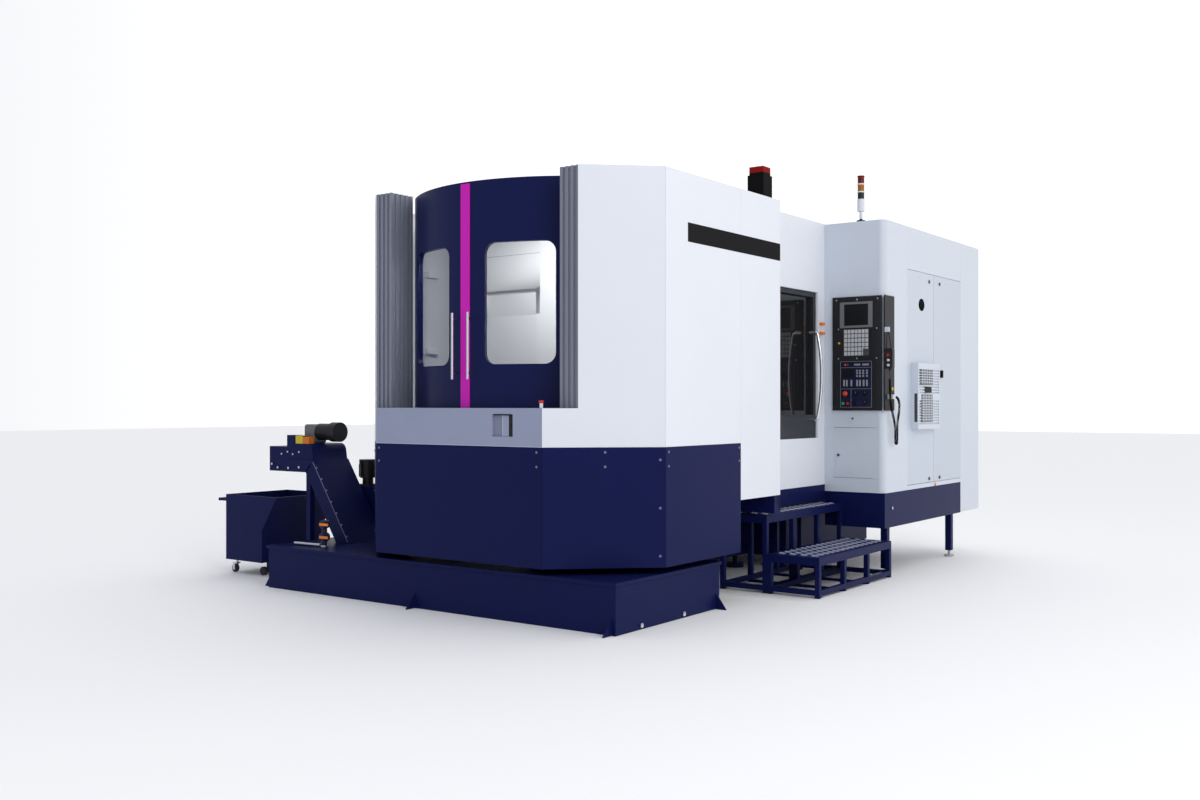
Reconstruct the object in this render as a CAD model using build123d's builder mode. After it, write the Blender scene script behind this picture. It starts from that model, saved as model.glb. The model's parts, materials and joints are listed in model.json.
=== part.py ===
from build123d import *
import os
from math import cos, radians, sin, sqrt, tan

# Horizontal machining center with a two-place pallet changer behind curved loading doors.
# Millimetres. X runs to the right and Y to the back, seen from the loading doors, and Z is up.
# The origin lies on the floor under the line where the two loading doors meet.

# Fits and sheet sizes that many pieces share
seam = 0.6
slide_gap = 0.3
shaft_gap = 0.05
overrun = 5
sheet = 25
thin = 8

# Loading station: plan of the front, its chamfered corners and its sides
front_y = -120
front_half = 800
chamfer_depth = 570
body_half = 1422
skirt_low = 390
skirt_top = 1209
band_top = 1474
body_top = 3120
skirt_back = 1486
side_back = 2120
side_low = 781
hatch_x = 357
hatch_width = 188
hatch_low = 1277
hatch_height = 153
hatch_depth = 14
hatch_knob_radius = 11
lamp_x = 766
lamp_radius = 12
lamp_height = 36

# Curved doors, concentric with the pallet changer
door_radius = 1248
door_thick = 40
door_top = 3100
door_turn = 40.3
door_parting = 0.03
window_mid_turn = 20.3
window_half_turn = 12.3
window_low = 1785
window_top = 2650
window_corner = 80
window_lap = 25
strip_half = 43
strip_thick = 8
strip_top = 3086
handle_x = 75
handle_standoff = 62
handle_radius = 10
handle_low = 1679
handle_top = 2158
handle_peg_inset = 45
track_width = 12
track_height = 10
track_turn = 76
ledge_back = 1080
ledge_ring = 100
roof_drop = 40

# Ribbed door posts
post_front = 55
post_gap = 19.6
post_inner = 817
post_outer = 979
post_wall = 30
rib_depth = 12
front_ribs = 4
return_ribs = 5

# Bed, its feet and the frame that carries the walls
bed_low = 120
bed_step = 420
bed_top = 760
bed_front_gap = 14
bed_step_run = 298
bed_cross_y = 3330
bed_back = 5130
bed_front_half = 450
bed_cross_half = 850
bed_pocket = 90
foot_radius = 80
foot_thick = 40
stud_radius = 22
rail_width = 50
rail_height = 40
beam_width = 100
beam_low = 640
wall_half = 1167
wall_back = 5180
floor_low = 420
floor_thick = 40

# Pallet changer
pedestal_radius = 300
pedestal_top = 900
ram_radius = 150
ram_low = 530
lift = 40
spigot_radius = 100
spigot_height = 160
hub_radius = 250
hub_top = 1262
tine_inner = 190
tine_outer = 280
tine_low = 1112
tine_top = 1150
tine_reach = 930
pallet_offset = 700
pallet_half = 315
pallet_thick = 100
pallet_corner = 40
slot_width = 22
slot_depth = 30
slot_pitch = 125
slot_place_shares = (-1.5, -0.5, 0.5, 1.5)
work_hole_radius = 8
work_hole_depth = 40
work_hole_spacing = 400
partition_half = 1040
partition_thick = 120
partition_top = 2900
partition_recess = 50
partition_split = 2240
partition_margin = 90

# Table saddle and rotary table
saddle_half = 420
saddle_ahead = 348
saddle_behind = 352
saddle_top = 960
table_radius = 300
table_thick = 80
table_post_radius = 150
post_clear = 0.5

# Column, spindle head and spindle
column_x = 358
column_half = 330
column_front = 3560
column_back = 4580
column_slope_y = 4280
column_top = 3240
column_foot = 190
column_rail_front = 3620
column_rail_back = 4480
slot_half = 150
slot_low = 1000
slot_top = 3050
head_half_height = 200
head_front = 3300
head_back = 4230
spindle_z = 1750
nose_radius = 140
nose_length = 90
spindle_radius = 60
spindle_length = 420
spindle_flange_radius = 78
spindle_flange = 30
motor_side = 173
motor_height = 437
motor_setback = 190
motor_flange_thick = 11
motor_cap = 80
motor_cap_inset = 10
motor_flange = 210

# Tool magazine
magazine_y = 4080
magazine_z = 1950
magazine_radius = 520
magazine_low_x = -1080
magazine_thick = 90
magazine_axle_radius = 50
magazine_hub_radius = 110
magazine_stand_x = -1140
magazine_stand_thick = 42
magazine_stand_half = 130
pocket_count = 20
pocket_radius = 45
pocket_depth = 70
pocket_inset_share = 1.4
magazine_hole_share = 0.385

# Operator door in the right wall
opening_front = 2232
opening_back = 3332
opening_low = 1203
opening_top = 2494
door_lap = 14
slider_thick = 38
slider_frame = 58
slider_plate_top = 1409
slider_glass = 8
slider_rail = 30
slider_rail_front = 1330
grip_y = 3211
grip_low = 1353
grip_top = 2147
grip_radius = 13
grip_standoff = 80
grip_turn = 78
grip_bend = 30

# Electrical cabinet behind the operator
cabinet_front = 3470
cabinet_split = 5396
cabinet_back = 5943
cabinet_right = 1735
cabinet_low = 723
cabinet_top = 3115
cabinet_corner = 60
bay_low = 422
plinth_low = 417
leg_side = 60
leg_edge = 5
leg_front_y = 3560
leg_back_y = 5166
leg_foot_radius = 45
leg_foot_thick = 20
leg_stud = 40
leg_stud_radius = 12
leaf_front = 3991
leaf_parting = 4645
leaf_top = 2729
leaf_thick = 22
leaf_gap = 3
sill = 40
mullion = 40
oval_y = 4340
oval_z = 2425
oval_length = 150
oval_height = 115
oval_depth = 12
cooler_front = 4075
cooler_back = 4625
cooler_low = 1273
cooler_top = 1878
cooler_depth = 70
cooler_slots = 9
cooler_slot_depth = 10
louvre_field_share = 0.385
louvre_low_shares = (0.07, 0.54)
switch_y = 4820
switch_z = 1791
switch_radius = 36
switch_plate = 100
switch_plate_thick = 6
switch_height = 24
switch_bar = 16
electric_plate = 12
electric_depth = 190
bin_depth = 240
bin_wall = 6
locker_left = 1253
locker_right = 1627
locker_low = 847
locker_top = 1296
locker_thick = 18
latch_x = 1303
latch_z = 1050
latch_radius = 18
latch_height = 8

# Operator panel on the cabinet's front
panel_left = 1249
panel_right = 1710
panel_low = 1445
panel_top = 2452
panel_thick = 25
panel_edge = 10
panel_recess = 8
bezel_left = 1326
bezel_right = 1633
bezel_low = 2176
bezel_top = 2404
bezel_proud = 6
screen_margin = 40
screen_sink = 5
keyboard_left = 1359
keyboard_right = 1599
keyboard_low = 1925
keyboard_top = 2166
key_rows = 6
key_columns = 7
key_gap = 7
key_height = 4
plate_left = 1329
plate_right = 1629
plate_low = 1471
plate_top = 1883
plate_proud = 4
estop_x = 1382
estop_z = 1595
estop_radius = 21
estop_stem = 13
estop_height = 26
estop_travel = 6
start_x = 1359
stop_x = 1404
button_z = 1507
button_radius = 13
button_height = 12
selector_x = 1488
selector_z = 1517
selector_radius = 18
wing_back = 3656
wing_thick = 12
pendant_width = 70
pendant_depth = 50
pendant_ahead = 5
pendant_low = 1809
pendant_top = 1987
pendant_chamfer = 10
dial_z = 1928
dial_radius = 26
dial_height = 16
dial_pin = 8
knob_radius = 11
knob_height = 14
knob_pitch = 44
gland_radius = 9
gland_height = 20
socket_height = 40
socket_length = 45
cord_radius = 6
bend_share = 0.45
tower_x = 1483
tower_y = 3540
tower_radius = 32
tower_foot = 18
tower_neck_radius = 14
tower_foot_radius = 38
tower_lamp_low = 3320
tower_top = 3528
tower_base_low = 3213
tower_ring = 10

# Coolant tank, its pump box, the pumps and the valves
tank_reach = 693
tank_inset = 47
tank_front = -73
tank_top = 345
tank_lid = 24
tank_lip = 14
gusset_thick = 12
gusset_reach = 90
gusset_height = 120
gusset_inset = 44
front_gusset_share = 0.478
pump_box_inset = 35
pump_box_length = 380
pump_box_gap = 50
pump_box_depth = 360
pump_box_top = 785
pump_inset = 95
pump_pitch = 200
pump_flange_radius = 80
pump_flange_thick = 16
pump_body_radius = 48
pump_body_height = 55
pump_motor_radius = 70
pump_motor_height = 120
pump_fan_radius = 76
pump_fan_height = 40
pump_fins = 8
pump_fin = 9
manifold_inset = 505
manifold_y = 80
manifold_radius = 22
manifold_top = 560
valve_radius = 34
valve_length = 60
valve_low_z = 432
valve_high_z = 535
lever_length = 80
lever_width = 20
lever_thick = 8
lever_pin_radius = 9
lever_pin_length = 14

# Chip conveyor out of the tank, its gear motor and the cart under its head
conveyor_near = 370
conveyor_width = 380
conveyor_wall = 12
head_overhang = 550
head_low = 920
head_top = 1134
head_step = 233
crown_z = 1162
crown_length = 320
crown_round = 70
neck_run = 22
neck_z = 1025
incline_run = 456
incline_thick = 170
flange_run = 48
flange_proud = 12
plate_over = 10
box_length = 102
box_depth = 90
box_height = 73
chute_inset = 45
chute_length = 180
support_side = 50
gearbox_inset = 147
gearbox_side = 130
drive_rise = 100
drive_motor_radius = 72
drive_fan_radius = 84
drive_motor_length = 165
drive_fan_length = 90
sensor_lengths = (95, 75)
sensor_heights = (70, 60)
sensor_depth = 60
sensor_gap = 5
cart_gap = 311
cart_length = 702
cart_slant_run = 201
cart_near = 256
cart_depth = 680
cart_rim = 699
cart_low = 120
cart_band = 222
cart_slant_z = 403
cart_wall = 8
slant_wall_share = 1.4
cart_handle_reach = 200
cart_handle_drop = 59
cart_handle_radius = 14
cart_handle_inset = 90
wheel_radius = 37.5
wheel_width = 28
wheel_bore = 8
caster_trail = 26
caster_inset = 70
fork_gap = 3
fork_plate = 5
fork_top = 12
stem_radius = 10
stem_height = 30
axle_x_inset = 80

# Two-step platform in front of the operator door
step_left = 912
step_nose = 1341
step_right = 1795
step_front = 2045
step_low_z = 315
step_high_z = 620
tube = 40
tread = 24
tread_hole = 26
tread_pitch = 95

# Places worked out from the sizes above
arc_y = door_radius
chamfer_back = front_y + chamfer_depth
door_inner = door_radius - door_thick
door_low = band_top + seam
wall_inner = wall_half - sheet
pallet_bottom = tine_top
table_y = arc_y + pallet_offset
roof_top = door_top - roof_drop
cabinet_left = wall_half + seam
slider_outer = wall_inner - seam
slider_inner = slider_outer - slider_thick
post_back = arc_y - sqrt(door_radius ** 2 - post_inner ** 2) - post_gap
bed_front = arc_y + bed_front_gap
bed_step_y = bed_front + bed_step_run
tank_left = -body_half - tank_reach
tank_right = body_half - tank_inset
tank_back = bed_front - tank_lip - seam
cart_right = tank_left - cart_gap
cart_left = cart_right - cart_length
cart_slant_x = cart_right - cart_slant_run
step_back = cabinet_front - seam

os.makedirs("parts", exist_ok=True)


def save(builder, name):
    """Label a finished sub-part and write it to its own file."""
    builder.part.label = name
    export_step(builder.part, f"parts/{name}.step")


def block(x, y, z, mode=Mode.ADD):
    """Straight block between a low and a high value on each axis."""
    with Locations(((x[0] + x[1]) / 2, (y[0] + y[1]) / 2, (z[0] + z[1]) / 2)):
        Box(x[1] - x[0], y[1] - y[0], z[1] - z[0], mode=mode)


def outline(points, plane, depth, mode=Mode.ADD):
    """Straight-sided outline on a plane, carried along the plane's normal."""
    with BuildSketch(plane) as face:
        with BuildLine():
            Polyline(*points, close=True)
        make_face()
    extrude(face.sketch, amount=depth, mode=mode)


def rod(start, direction, radius, length, mode=Mode.ADD):
    """Round bar from a point along a direction."""
    with BuildSketch(Plane(origin=start, z_dir=direction)) as disc:
        Circle(radius)
    extrude(disc.sketch, amount=length, mode=mode)


def facing_right(x):
    """Plane that faces +X, with Y to its right and Z up."""
    return Plane.YZ.offset(x)


def facing_front(y):
    """Plane that faces -Y, with X to its right and Z up."""
    return Plane.XZ.offset(-y)


def at_height(z):
    """Level plane at a height."""
    return Plane.XY.offset(z)


def plan_quads(points, depth):
    """Plans of sheet panels along a line, mitred at its corners, with the depth to the line's left."""
    corners = [Vector(*point) for point in points]
    along = [(b - a).normalized() for a, b in zip(corners, corners[1:])]
    inward = [Vector(-step.Y, step.X) for step in along]
    inner = []
    for i, corner in enumerate(corners):
        before = inward[max(i - 1, 0)]
        after = inward[min(i, len(inward) - 1)]
        inner.append(corner + (before + after) * (depth / (1 + before.dot(after))))
    quads = []
    for i, step in enumerate(along):
        gap = step * (seam / 2)
        quad = (corners[i] + gap, corners[i + 1] - gap, inner[i + 1] - gap, inner[i] + gap)
        quads.append([(p.X, p.Y) for p in quad])
    return quads


def on_arc(radius, turn):
    """Plan point at a turn in degrees from the front, about the changer's axis."""
    return (radius * sin(radians(turn)), arc_y - radius * cos(radians(turn)))


def arc_wall(inner, outer, start, stop, low, high, mode=Mode.ADD):
    """Upright wall that curves about the changer's axis."""
    middle = (start + stop) / 2
    with BuildSketch(at_height(low)) as face:
        with BuildLine():
            ThreePointArc(on_arc(outer, start), on_arc(outer, middle), on_arc(outer, stop))
            Line(on_arc(outer, stop), on_arc(inner, stop))
            ThreePointArc(on_arc(inner, stop), on_arc(inner, middle), on_arc(inner, start))
            Line(on_arc(inner, start), on_arc(outer, start))
        make_face()
    extrude(face.sketch, amount=high - low, mode=mode)


# Bed casting: a front bed for the saddle and a cross bed for the column, with cast side pockets, rails and
# levelling feet
with BuildPart() as bed_casting:
    front_profile = [
        (bed_front, bed_low), (bed_cross_y, bed_low), (bed_cross_y, bed_top),
        (bed_step_y, bed_top), (bed_step_y, bed_step), (bed_front, bed_step),
    ]
    outline(front_profile, facing_right(-bed_front_half), 2 * bed_front_half)
    block((-bed_cross_half, bed_cross_half), (bed_cross_y, bed_back), (bed_low, bed_top))
    for side in (-1, 1):
        pocket_x = sorted((side * bed_front_half, side * (bed_front_half - bed_pocket)))
        block(pocket_x, (bed_step_y + bed_pocket, bed_cross_y - bed_pocket),
              (bed_low + bed_pocket, bed_top - bed_pocket), Mode.SUBTRACT)
        rail_x = side * (bed_front_half - rail_width)
        block((rail_x - rail_width / 2, rail_x + rail_width / 2), (bed_step_y + rail_width, bed_cross_y),
              (bed_top, bed_top + rail_height))
    for rail_y in (column_rail_front, column_rail_back):
        block((-bed_cross_half, bed_cross_half), (rail_y - rail_width / 2, rail_y + rail_width / 2),
              (bed_top, bed_top + rail_height))
    foot_places = [(side * (bed_front_half - foot_radius), bed_front + foot_radius) for side in (-1, 1)]
    foot_places += [(side * (bed_front_half - foot_radius), bed_cross_y - foot_radius) for side in (-1, 1)]
    foot_places += [(side * (bed_cross_half - foot_radius), y) for side in (-1, 1)
                    for y in (bed_cross_y + foot_radius, bed_back - foot_radius)]
    for x, y in foot_places:
        rod((x, y, 0), (0, 0, 1), foot_radius, foot_thick)
        rod((x, y, foot_thick), (0, 0, 1), stud_radius, bed_low - foot_thick)
save(bed_casting, "bed_casting")

# Welded frame round the bed: the walls stand on it, and it carries the magazine's stand
with BuildPart() as base_frame:
    for side in (-1, 1):
        beam_x = sorted((side * wall_half, side * (wall_half - beam_width)))
        block(beam_x, (side_back - beam_width, wall_back), (beam_low, side_low))
        arm_x = sorted((side * bed_cross_half, side * (wall_half - beam_width)))
        for arm_y in (bed_cross_y + beam_width, bed_back - beam_width):
            block(arm_x, (arm_y - beam_width / 2, arm_y + beam_width / 2), (beam_low, bed_top))
    for gap_side in (-1, 1):
        cross_x = sorted((gap_side * body_half, gap_side * bed_front_half))
        block(cross_x, (side_back - beam_width, side_back), (beam_low, side_low))
    block((-wall_half, wall_half), (wall_back - beam_width / 2, wall_back), (beam_low, side_low))
    stand_x = (magazine_stand_x, magazine_stand_x + magazine_stand_thick)
    block(stand_x, (magazine_y - magazine_stand_half, magazine_y + magazine_stand_half),
          (side_low, magazine_z + magazine_stand_half))
    rod((stand_x[1], magazine_y, magazine_z), (1, 0, 0), magazine_axle_radius,
        magazine_low_x + magazine_thick - stand_x[1])
save(base_frame, "base_frame")

# Station floor with the changer's pedestal, bored for the lifting ram
station_plan = [
    (-body_half, skirt_back), (-body_half, chamfer_back), (-front_half, front_y),
    (front_half, front_y), (body_half, chamfer_back), (body_half, skirt_back),
]
station_quads = plan_quads(station_plan, sheet)
inner_plan = plan_quads(station_plan, sheet + seam)
inner_line = [inner_plan[0][3]] + [quad[2] for quad in inner_plan]
with BuildPart() as changer_base:
    outline(inner_line, at_height(floor_low), floor_thick)
    rod((0, arc_y, floor_low + floor_thick), (0, 0, 1), pedestal_radius,
        pedestal_top - floor_low - floor_thick)
    bore_low = ram_low - lift - overrun
    rod((0, arc_y, bore_low), (0, 0, 1), ram_radius + shaft_gap, pedestal_top - bore_low, Mode.SUBTRACT)
save(changer_base, "changer_base")

# Skirt: five navy sheet panels round the foot of the loading station
with BuildPart() as skirt_panels:
    for quad in station_quads:
        outline(quad, at_height(skirt_low), skirt_top - seam - skirt_low)
save(skirt_panels, "skirt_panels")

# Front band: grey panel with a sunk connection hatch, and the ledge that the doors run on
with BuildPart() as front_band:
    outline(station_quads[2], at_height(skirt_top), band_top - skirt_top)
    block((hatch_x, hatch_x + hatch_width), (front_y, front_y + hatch_depth),
          (hatch_low, hatch_low + hatch_height), Mode.SUBTRACT)
    hatch_mid = hatch_x + hatch_width / 2
    block((hatch_mid, hatch_x + hatch_width - seam), (front_y + hatch_depth / 2, front_y + hatch_depth),
          (hatch_low + seam, hatch_low + hatch_height - seam))
    knob_place = (hatch_x + hatch_width - 2 * hatch_knob_radius, front_y + hatch_depth / 2,
                  hatch_low + hatch_height / 2)
    rod(knob_place, (0, -1, 0), hatch_knob_radius, hatch_depth / 2)
    ledge_line = [(x, min(y, ledge_back)) for x, y in inner_line]
    with BuildSketch(at_height(band_top - sheet)) as ledge_face:
        with BuildLine():
            Polyline(*ledge_line, close=True)
        make_face()
        with Locations((0, arc_y)):
            Circle(door_inner - ledge_ring, mode=Mode.SUBTRACT)
    extrude(ledge_face.sketch, amount=sheet)
    rod((lamp_x, front_y + sheet + lamp_radius + seam, band_top), (0, 0, 1), lamp_radius, lamp_height)
save(front_band, "front_band")


def chamfer_y(x):
    """Outer face of the chamfered corner at a distance from the middle."""
    return front_y + chamfer_depth * (abs(x) - front_half) / (body_half - front_half)


# White shell of the station: chamfered corners, sides and the returns towards the machining area
chamfer_length = sqrt(chamfer_depth ** 2 + (body_half - front_half) ** 2)
chamfer_wall_y = sheet * chamfer_length / (body_half - front_half)
with BuildPart() as shell_panels:
    for side, low_quad, side_quad in ((-1, station_quads[1], station_quads[0]),
                                      (1, station_quads[3], station_quads[4])):
        outline(low_quad, at_height(skirt_top), band_top - skirt_top)
        corner = [p for p in low_quad if abs(p[0]) > (front_half + body_half) / 2]
        corner.sort(key=lambda p: -abs(p[0]))
        post_edge = side * (post_outer + seam)
        upper = [(post_edge, chamfer_y(post_edge)), corner[0], corner[1],
                 (post_edge, chamfer_y(post_edge) + chamfer_wall_y)]
        outline(upper, at_height(band_top), body_top - band_top)
        outline(side_quad, at_height(skirt_top), body_top - skirt_top)
        rear_x = sorted((side * body_half, side * (body_half - sheet)))
        block(rear_x, (skirt_back + seam, side_back), (side_low, body_top))
        return_x = sorted((side * (body_half - sheet - seam), side * (wall_half + seam)))
        block(return_x, (side_back - sheet, side_back), (side_low, body_top))
save(shell_panels, "shell_panels")


def ribbed(start, stop, count, face, groove):
    """Points along a face from start to stop, sunk to the groove between ribs."""
    pitch = (stop - start) / (2 * count - 1)
    points = []
    for i in range(count):
        rib = start + 2 * i * pitch
        points += [(rib, face), (rib + pitch, face)]
        if i < count - 1:
            points += [(rib + pitch, groove), (rib + 2 * pitch, groove)]
    return points


# Door posts: two angled aluminium-grey extrusions with ribs on both of their faces
with BuildPart() as door_posts:
    for side in (-1, 1):
        front_line = ribbed(post_outer, post_inner, front_ribs, post_front, post_front + rib_depth)
        return_line = ribbed(post_front, post_back, return_ribs, post_inner, post_inner + rib_depth)
        post_line = front_line + [(x, y) for y, x in return_line[1:]]
        post_line += [(post_inner + post_wall, post_back), (post_inner + post_wall, post_front + post_wall),
                      (post_outer, post_front + post_wall)]
        outline([(side * x, y) for x, y in post_line], at_height(band_top), body_top - band_top)
save(door_posts, "door_posts")

# Tracks: a curved rail on the ledge, a curved guide under the roof and the operator door's two rails
door_mid = (door_radius + door_inner) / 2
with BuildPart() as door_tracks:
    arc_wall(door_mid - track_width / 2, door_mid + track_width / 2, -track_turn, track_turn,
             band_top, band_top + track_height)
    arc_wall(door_inner - slide_gap - ledge_ring, door_inner - slide_gap, -track_turn, track_turn,
             roof_top - 2 * sheet, roof_top - sheet)
    rail_x = (slider_inner, wall_inner)
    for rail_z in (opening_low - door_lap - slide_gap - slider_rail, opening_top + door_lap + slide_gap):
        block(rail_x, (slider_rail_front, cabinet_front), (rail_z, rail_z + slider_rail))
save(door_tracks, "door_tracks")

# Walls of the machining area, with the doorway on the operator's side, and the roof
with BuildPart() as enclosure_walls:
    right_x = (wall_inner, wall_half)
    wall_front = side_back + seam
    block(right_x, (wall_front, opening_front), (side_low, body_top))
    block(right_x, (opening_back, cabinet_front), (side_low, body_top))
    block(right_x, (opening_front + seam, opening_back - seam), (opening_top, body_top))
    block(right_x, (opening_front + seam, opening_back - seam), (side_low, opening_low))
    block(right_x, (cabinet_front + seam, wall_back - sheet - seam), (side_low, body_top))
    block((-wall_half, -wall_inner), (wall_front, wall_back - sheet - seam), (side_low, body_top))
    block((-wall_half, wall_half), (wall_back - sheet, wall_back), (side_low, body_top))
    roof_half = body_half - sheet - seam
    with BuildSketch(at_height(roof_top - sheet)) as roof_face:
        with Locations((0, arc_y)):
            Circle(door_inner - slide_gap)
        with Locations((0, (ledge_back + side_back - sheet - seam) / 2)):
            Rectangle(2 * roof_half, side_back - sheet - seam - ledge_back)
    extrude(roof_face.sketch, amount=sheet)
    block((-wall_inner + seam, wall_inner - seam), (side_back + seam, opening_back),
          (roof_top - sheet, roof_top))
save(enclosure_walls, "enclosure_walls")


def front_door(side):
    """Curved door leaf on one side, with a rounded window and a groove that rides the rail."""
    near = side * door_parting
    far = side * door_turn
    with BuildPart() as leaf:
        arc_wall(door_inner, door_radius, near, far, door_low, door_top)
        arc_wall(door_mid - track_width / 2 - slide_gap, door_mid + track_width / 2 + slide_gap,
                 near - side, far + side, door_low - overrun, band_top + track_height + slide_gap,
                 Mode.SUBTRACT)
        middle = on_arc(door_radius + overrun, side * window_mid_turn)
        inward = (-middle[0], arc_y - middle[1], 0)
        window_width = 2 * door_radius * sin(radians(window_half_turn))
        window_height = window_top - window_low
        cut_plane = Plane(origin=(*middle, (window_low + window_top) / 2), x_dir=(inward[1], -inward[0], 0),
                          z_dir=inward)
        with BuildSketch(cut_plane) as window:
            RectangleRounded(window_width, window_height, window_corner)
        extrude(window.sketch, amount=door_radius / 2, mode=Mode.SUBTRACT)
    return leaf


def door_glass(side):
    """Curved pane behind a leaf's window."""
    lap_turn = window_half_turn + window_lap / door_radius / radians(1)
    pane_outer = door_inner - slide_gap
    with BuildPart() as pane:
        arc_wall(pane_outer - thin, pane_outer, side * (window_mid_turn - lap_turn),
                 side * (window_mid_turn + lap_turn), window_low - window_lap, window_top + window_lap)
    return pane


def door_handle(side):
    """Upright pull bar on two pegs."""
    face_y = arc_y - sqrt(door_radius ** 2 - handle_x ** 2)
    bar_y = face_y - handle_standoff
    with BuildPart() as handle:
        rod((side * handle_x, bar_y, handle_low), (0, 0, 1), handle_radius, handle_top - handle_low)
        for peg_z in (handle_low + handle_peg_inset, handle_top - handle_peg_inset):
            rod((side * handle_x, bar_y, peg_z), (0, 1, 0), handle_radius - seam,
                handle_standoff - handle_radius / 8)
    return handle


# Loading doors, their panes and their pull bars
for side, word in ((-1, "left"), (1, "right")):
    save(front_door(side), f"front_door_{word}")
    save(door_glass(side), f"{word}_door_glass")
    save(door_handle(side), f"{word}_door_handle")

# Meeting strip: a coloured curved flat on the right leaf that laps the left one
with BuildPart() as meeting_strip:
    strip_turn = strip_half / door_radius / radians(1)
    strip_inner = door_radius + slide_gap
    arc_wall(strip_inner, strip_inner + strip_thick, -strip_turn, strip_turn, door_low, strip_top)
save(meeting_strip, "meeting_strip")

# Operator door: a dark frame over a closed foot plate, behind the doorway
slider_y = (opening_front - door_lap, opening_back + door_lap)
slider_z = (opening_low - door_lap, opening_top + door_lap)
slider_x = (slider_inner, slider_outer)
view_y = (slider_y[0] + slider_frame, slider_y[1] - slider_frame)
view_z = (slider_plate_top, slider_z[1] - slider_frame)
with BuildPart() as operator_door:
    block(slider_x, slider_y, slider_z)
    block((slider_inner - overrun, slider_outer + overrun), view_y, view_z, Mode.SUBTRACT)
save(operator_door, "operator_door")

# Pane of the operator door, held against the back of its frame
with BuildPart() as operator_door_glass:
    pane_lap = slider_frame / 2
    block((slider_inner - slider_glass, slider_inner), (view_y[0] - pane_lap, view_y[1] + pane_lap),
          (view_z[0] - pane_lap, view_z[1] + pane_lap))
save(operator_door_glass, "operator_door_glass")

# Bowed pull bar of the operator door: a round bar that swings out between two straight feet
with BuildPart() as operator_door_handle:
    grip_out = slider_outer + grip_standoff
    foot_low = grip_low + grip_radius
    foot_top = grip_top - grip_radius
    bend_start = grip_out - grip_bend * sin(radians(grip_turn))
    bend_rise = grip_bend * (1 - cos(radians(grip_turn)))
    bow_half = (foot_top - foot_low) / 2 - bend_rise
    bow_reach = bow_half * tan(radians(90 - grip_turn) / 2)
    with BuildLine(facing_front(grip_y)) as grip_path:
        lower = Line((slider_outer, foot_low), (bend_start, foot_low))
        bend_low = TangentArc(lower @ 1, (grip_out, foot_low + bend_rise), tangent=lower % 1)
        bow = ThreePointArc(bend_low @ 1, (grip_out + bow_reach, (foot_low + foot_top) / 2),
                            (grip_out, foot_top - bend_rise))
        bend_top = TangentArc(bow @ 1, (bend_start, foot_top), tangent=bow % 1)
        Line(bend_top @ 1, (slider_outer, foot_top))
    with BuildSketch(Plane(origin=(slider_outer, grip_y, foot_low), z_dir=(1, 0, 0))):
        Circle(grip_radius)
    sweep(path=grip_path.wires()[0])
save(operator_door_handle, "operator_door_handle")

# Lifting ram of the changer, with the spigot that the arm turns on
ram_top = pedestal_top + lift
with BuildPart() as changer_ram:
    rod((0, arc_y, ram_low), (0, 0, 1), ram_radius, ram_top - ram_low)
    rod((0, arc_y, ram_top), (0, 0, 1), spigot_radius, spigot_height)
save(changer_ram, "changer_ram")

# Changer arm: a bored hub and two open forks that carry the pallets
with BuildPart() as pallet_arm:
    hub_low = ram_top + post_clear
    rod((0, arc_y, hub_low), (0, 0, 1), hub_radius, hub_top - hub_low)
    for tine_side in (-1, 1):
        tine_x = sorted((tine_side * tine_inner, tine_side * tine_outer))
        block(tine_x, (arc_y - tine_reach, arc_y + tine_reach), (tine_low, tine_top))
    block((-tine_outer, tine_outer), (arc_y - hub_radius, arc_y + hub_radius), (tine_low, tine_top))
    rod((0, arc_y, hub_low), (0, 0, 1), spigot_radius + shaft_gap, spigot_height, Mode.SUBTRACT)
save(pallet_arm, "pallet_arm")

# Splash partition on the hub: a tall sheet with a sunk lower field on each face
with BuildPart() as pallet_partition:
    wall_y = (arc_y - partition_thick / 2, arc_y + partition_thick / 2)
    block((-partition_half, partition_half), wall_y, (hub_top, partition_top))
    field_x = (-partition_half + partition_margin, partition_half - partition_margin)
    field_z = (hub_top + partition_margin, partition_split)
    block(field_x, (wall_y[0], wall_y[0] + partition_recess), field_z, Mode.SUBTRACT)
    block(field_x, (wall_y[1] - partition_recess, wall_y[1]), field_z, Mode.SUBTRACT)
save(pallet_partition, "pallet_partition")

# Pallets: two square cast plates with slots and four tapped holes for the work
with BuildPart() as pallets:
    for pallet_side in (-1, 1):
        pallet_y = arc_y + pallet_side * pallet_offset
        with BuildSketch(at_height(pallet_bottom)) as pallet_face:
            with Locations((0, pallet_y)):
                Rectangle(2 * pallet_half, 2 * pallet_half)
            chamfer(pallet_face.vertices(), pallet_corner)
        extrude(pallet_face.sketch, amount=pallet_thick)
        pallet_top = pallet_bottom + pallet_thick
        for slot in slot_place_shares:
            slot_x = slot * slot_pitch
            block((slot_x - slot_width / 2, slot_x + slot_width / 2),
                  (pallet_y - pallet_half, pallet_y + pallet_half),
                  (pallet_top - slot_depth, pallet_top), Mode.SUBTRACT)
        with Locations((0, pallet_y, pallet_top)):
            with GridLocations(work_hole_spacing, work_hole_spacing, 2, 2):
                Hole(work_hole_radius, work_hole_depth)
save(pallets, "pallets")

# Table saddle: a casting on the two front rails that bears the rotary table
with BuildPart() as table_saddle:
    rail_top = bed_top + rail_height
    block((-saddle_half, saddle_half), (table_y - saddle_ahead, table_y + saddle_behind),
          (rail_top + slide_gap, saddle_top))
    rod((0, table_y, saddle_top), (0, 0, 1), table_radius, table_thick)
    rod((0, table_y, rail_top), (0, 0, 1), table_post_radius - rail_width + shaft_gap,
        saddle_top + table_thick - rail_top, Mode.SUBTRACT)
save(table_saddle, "table_saddle")

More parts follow.
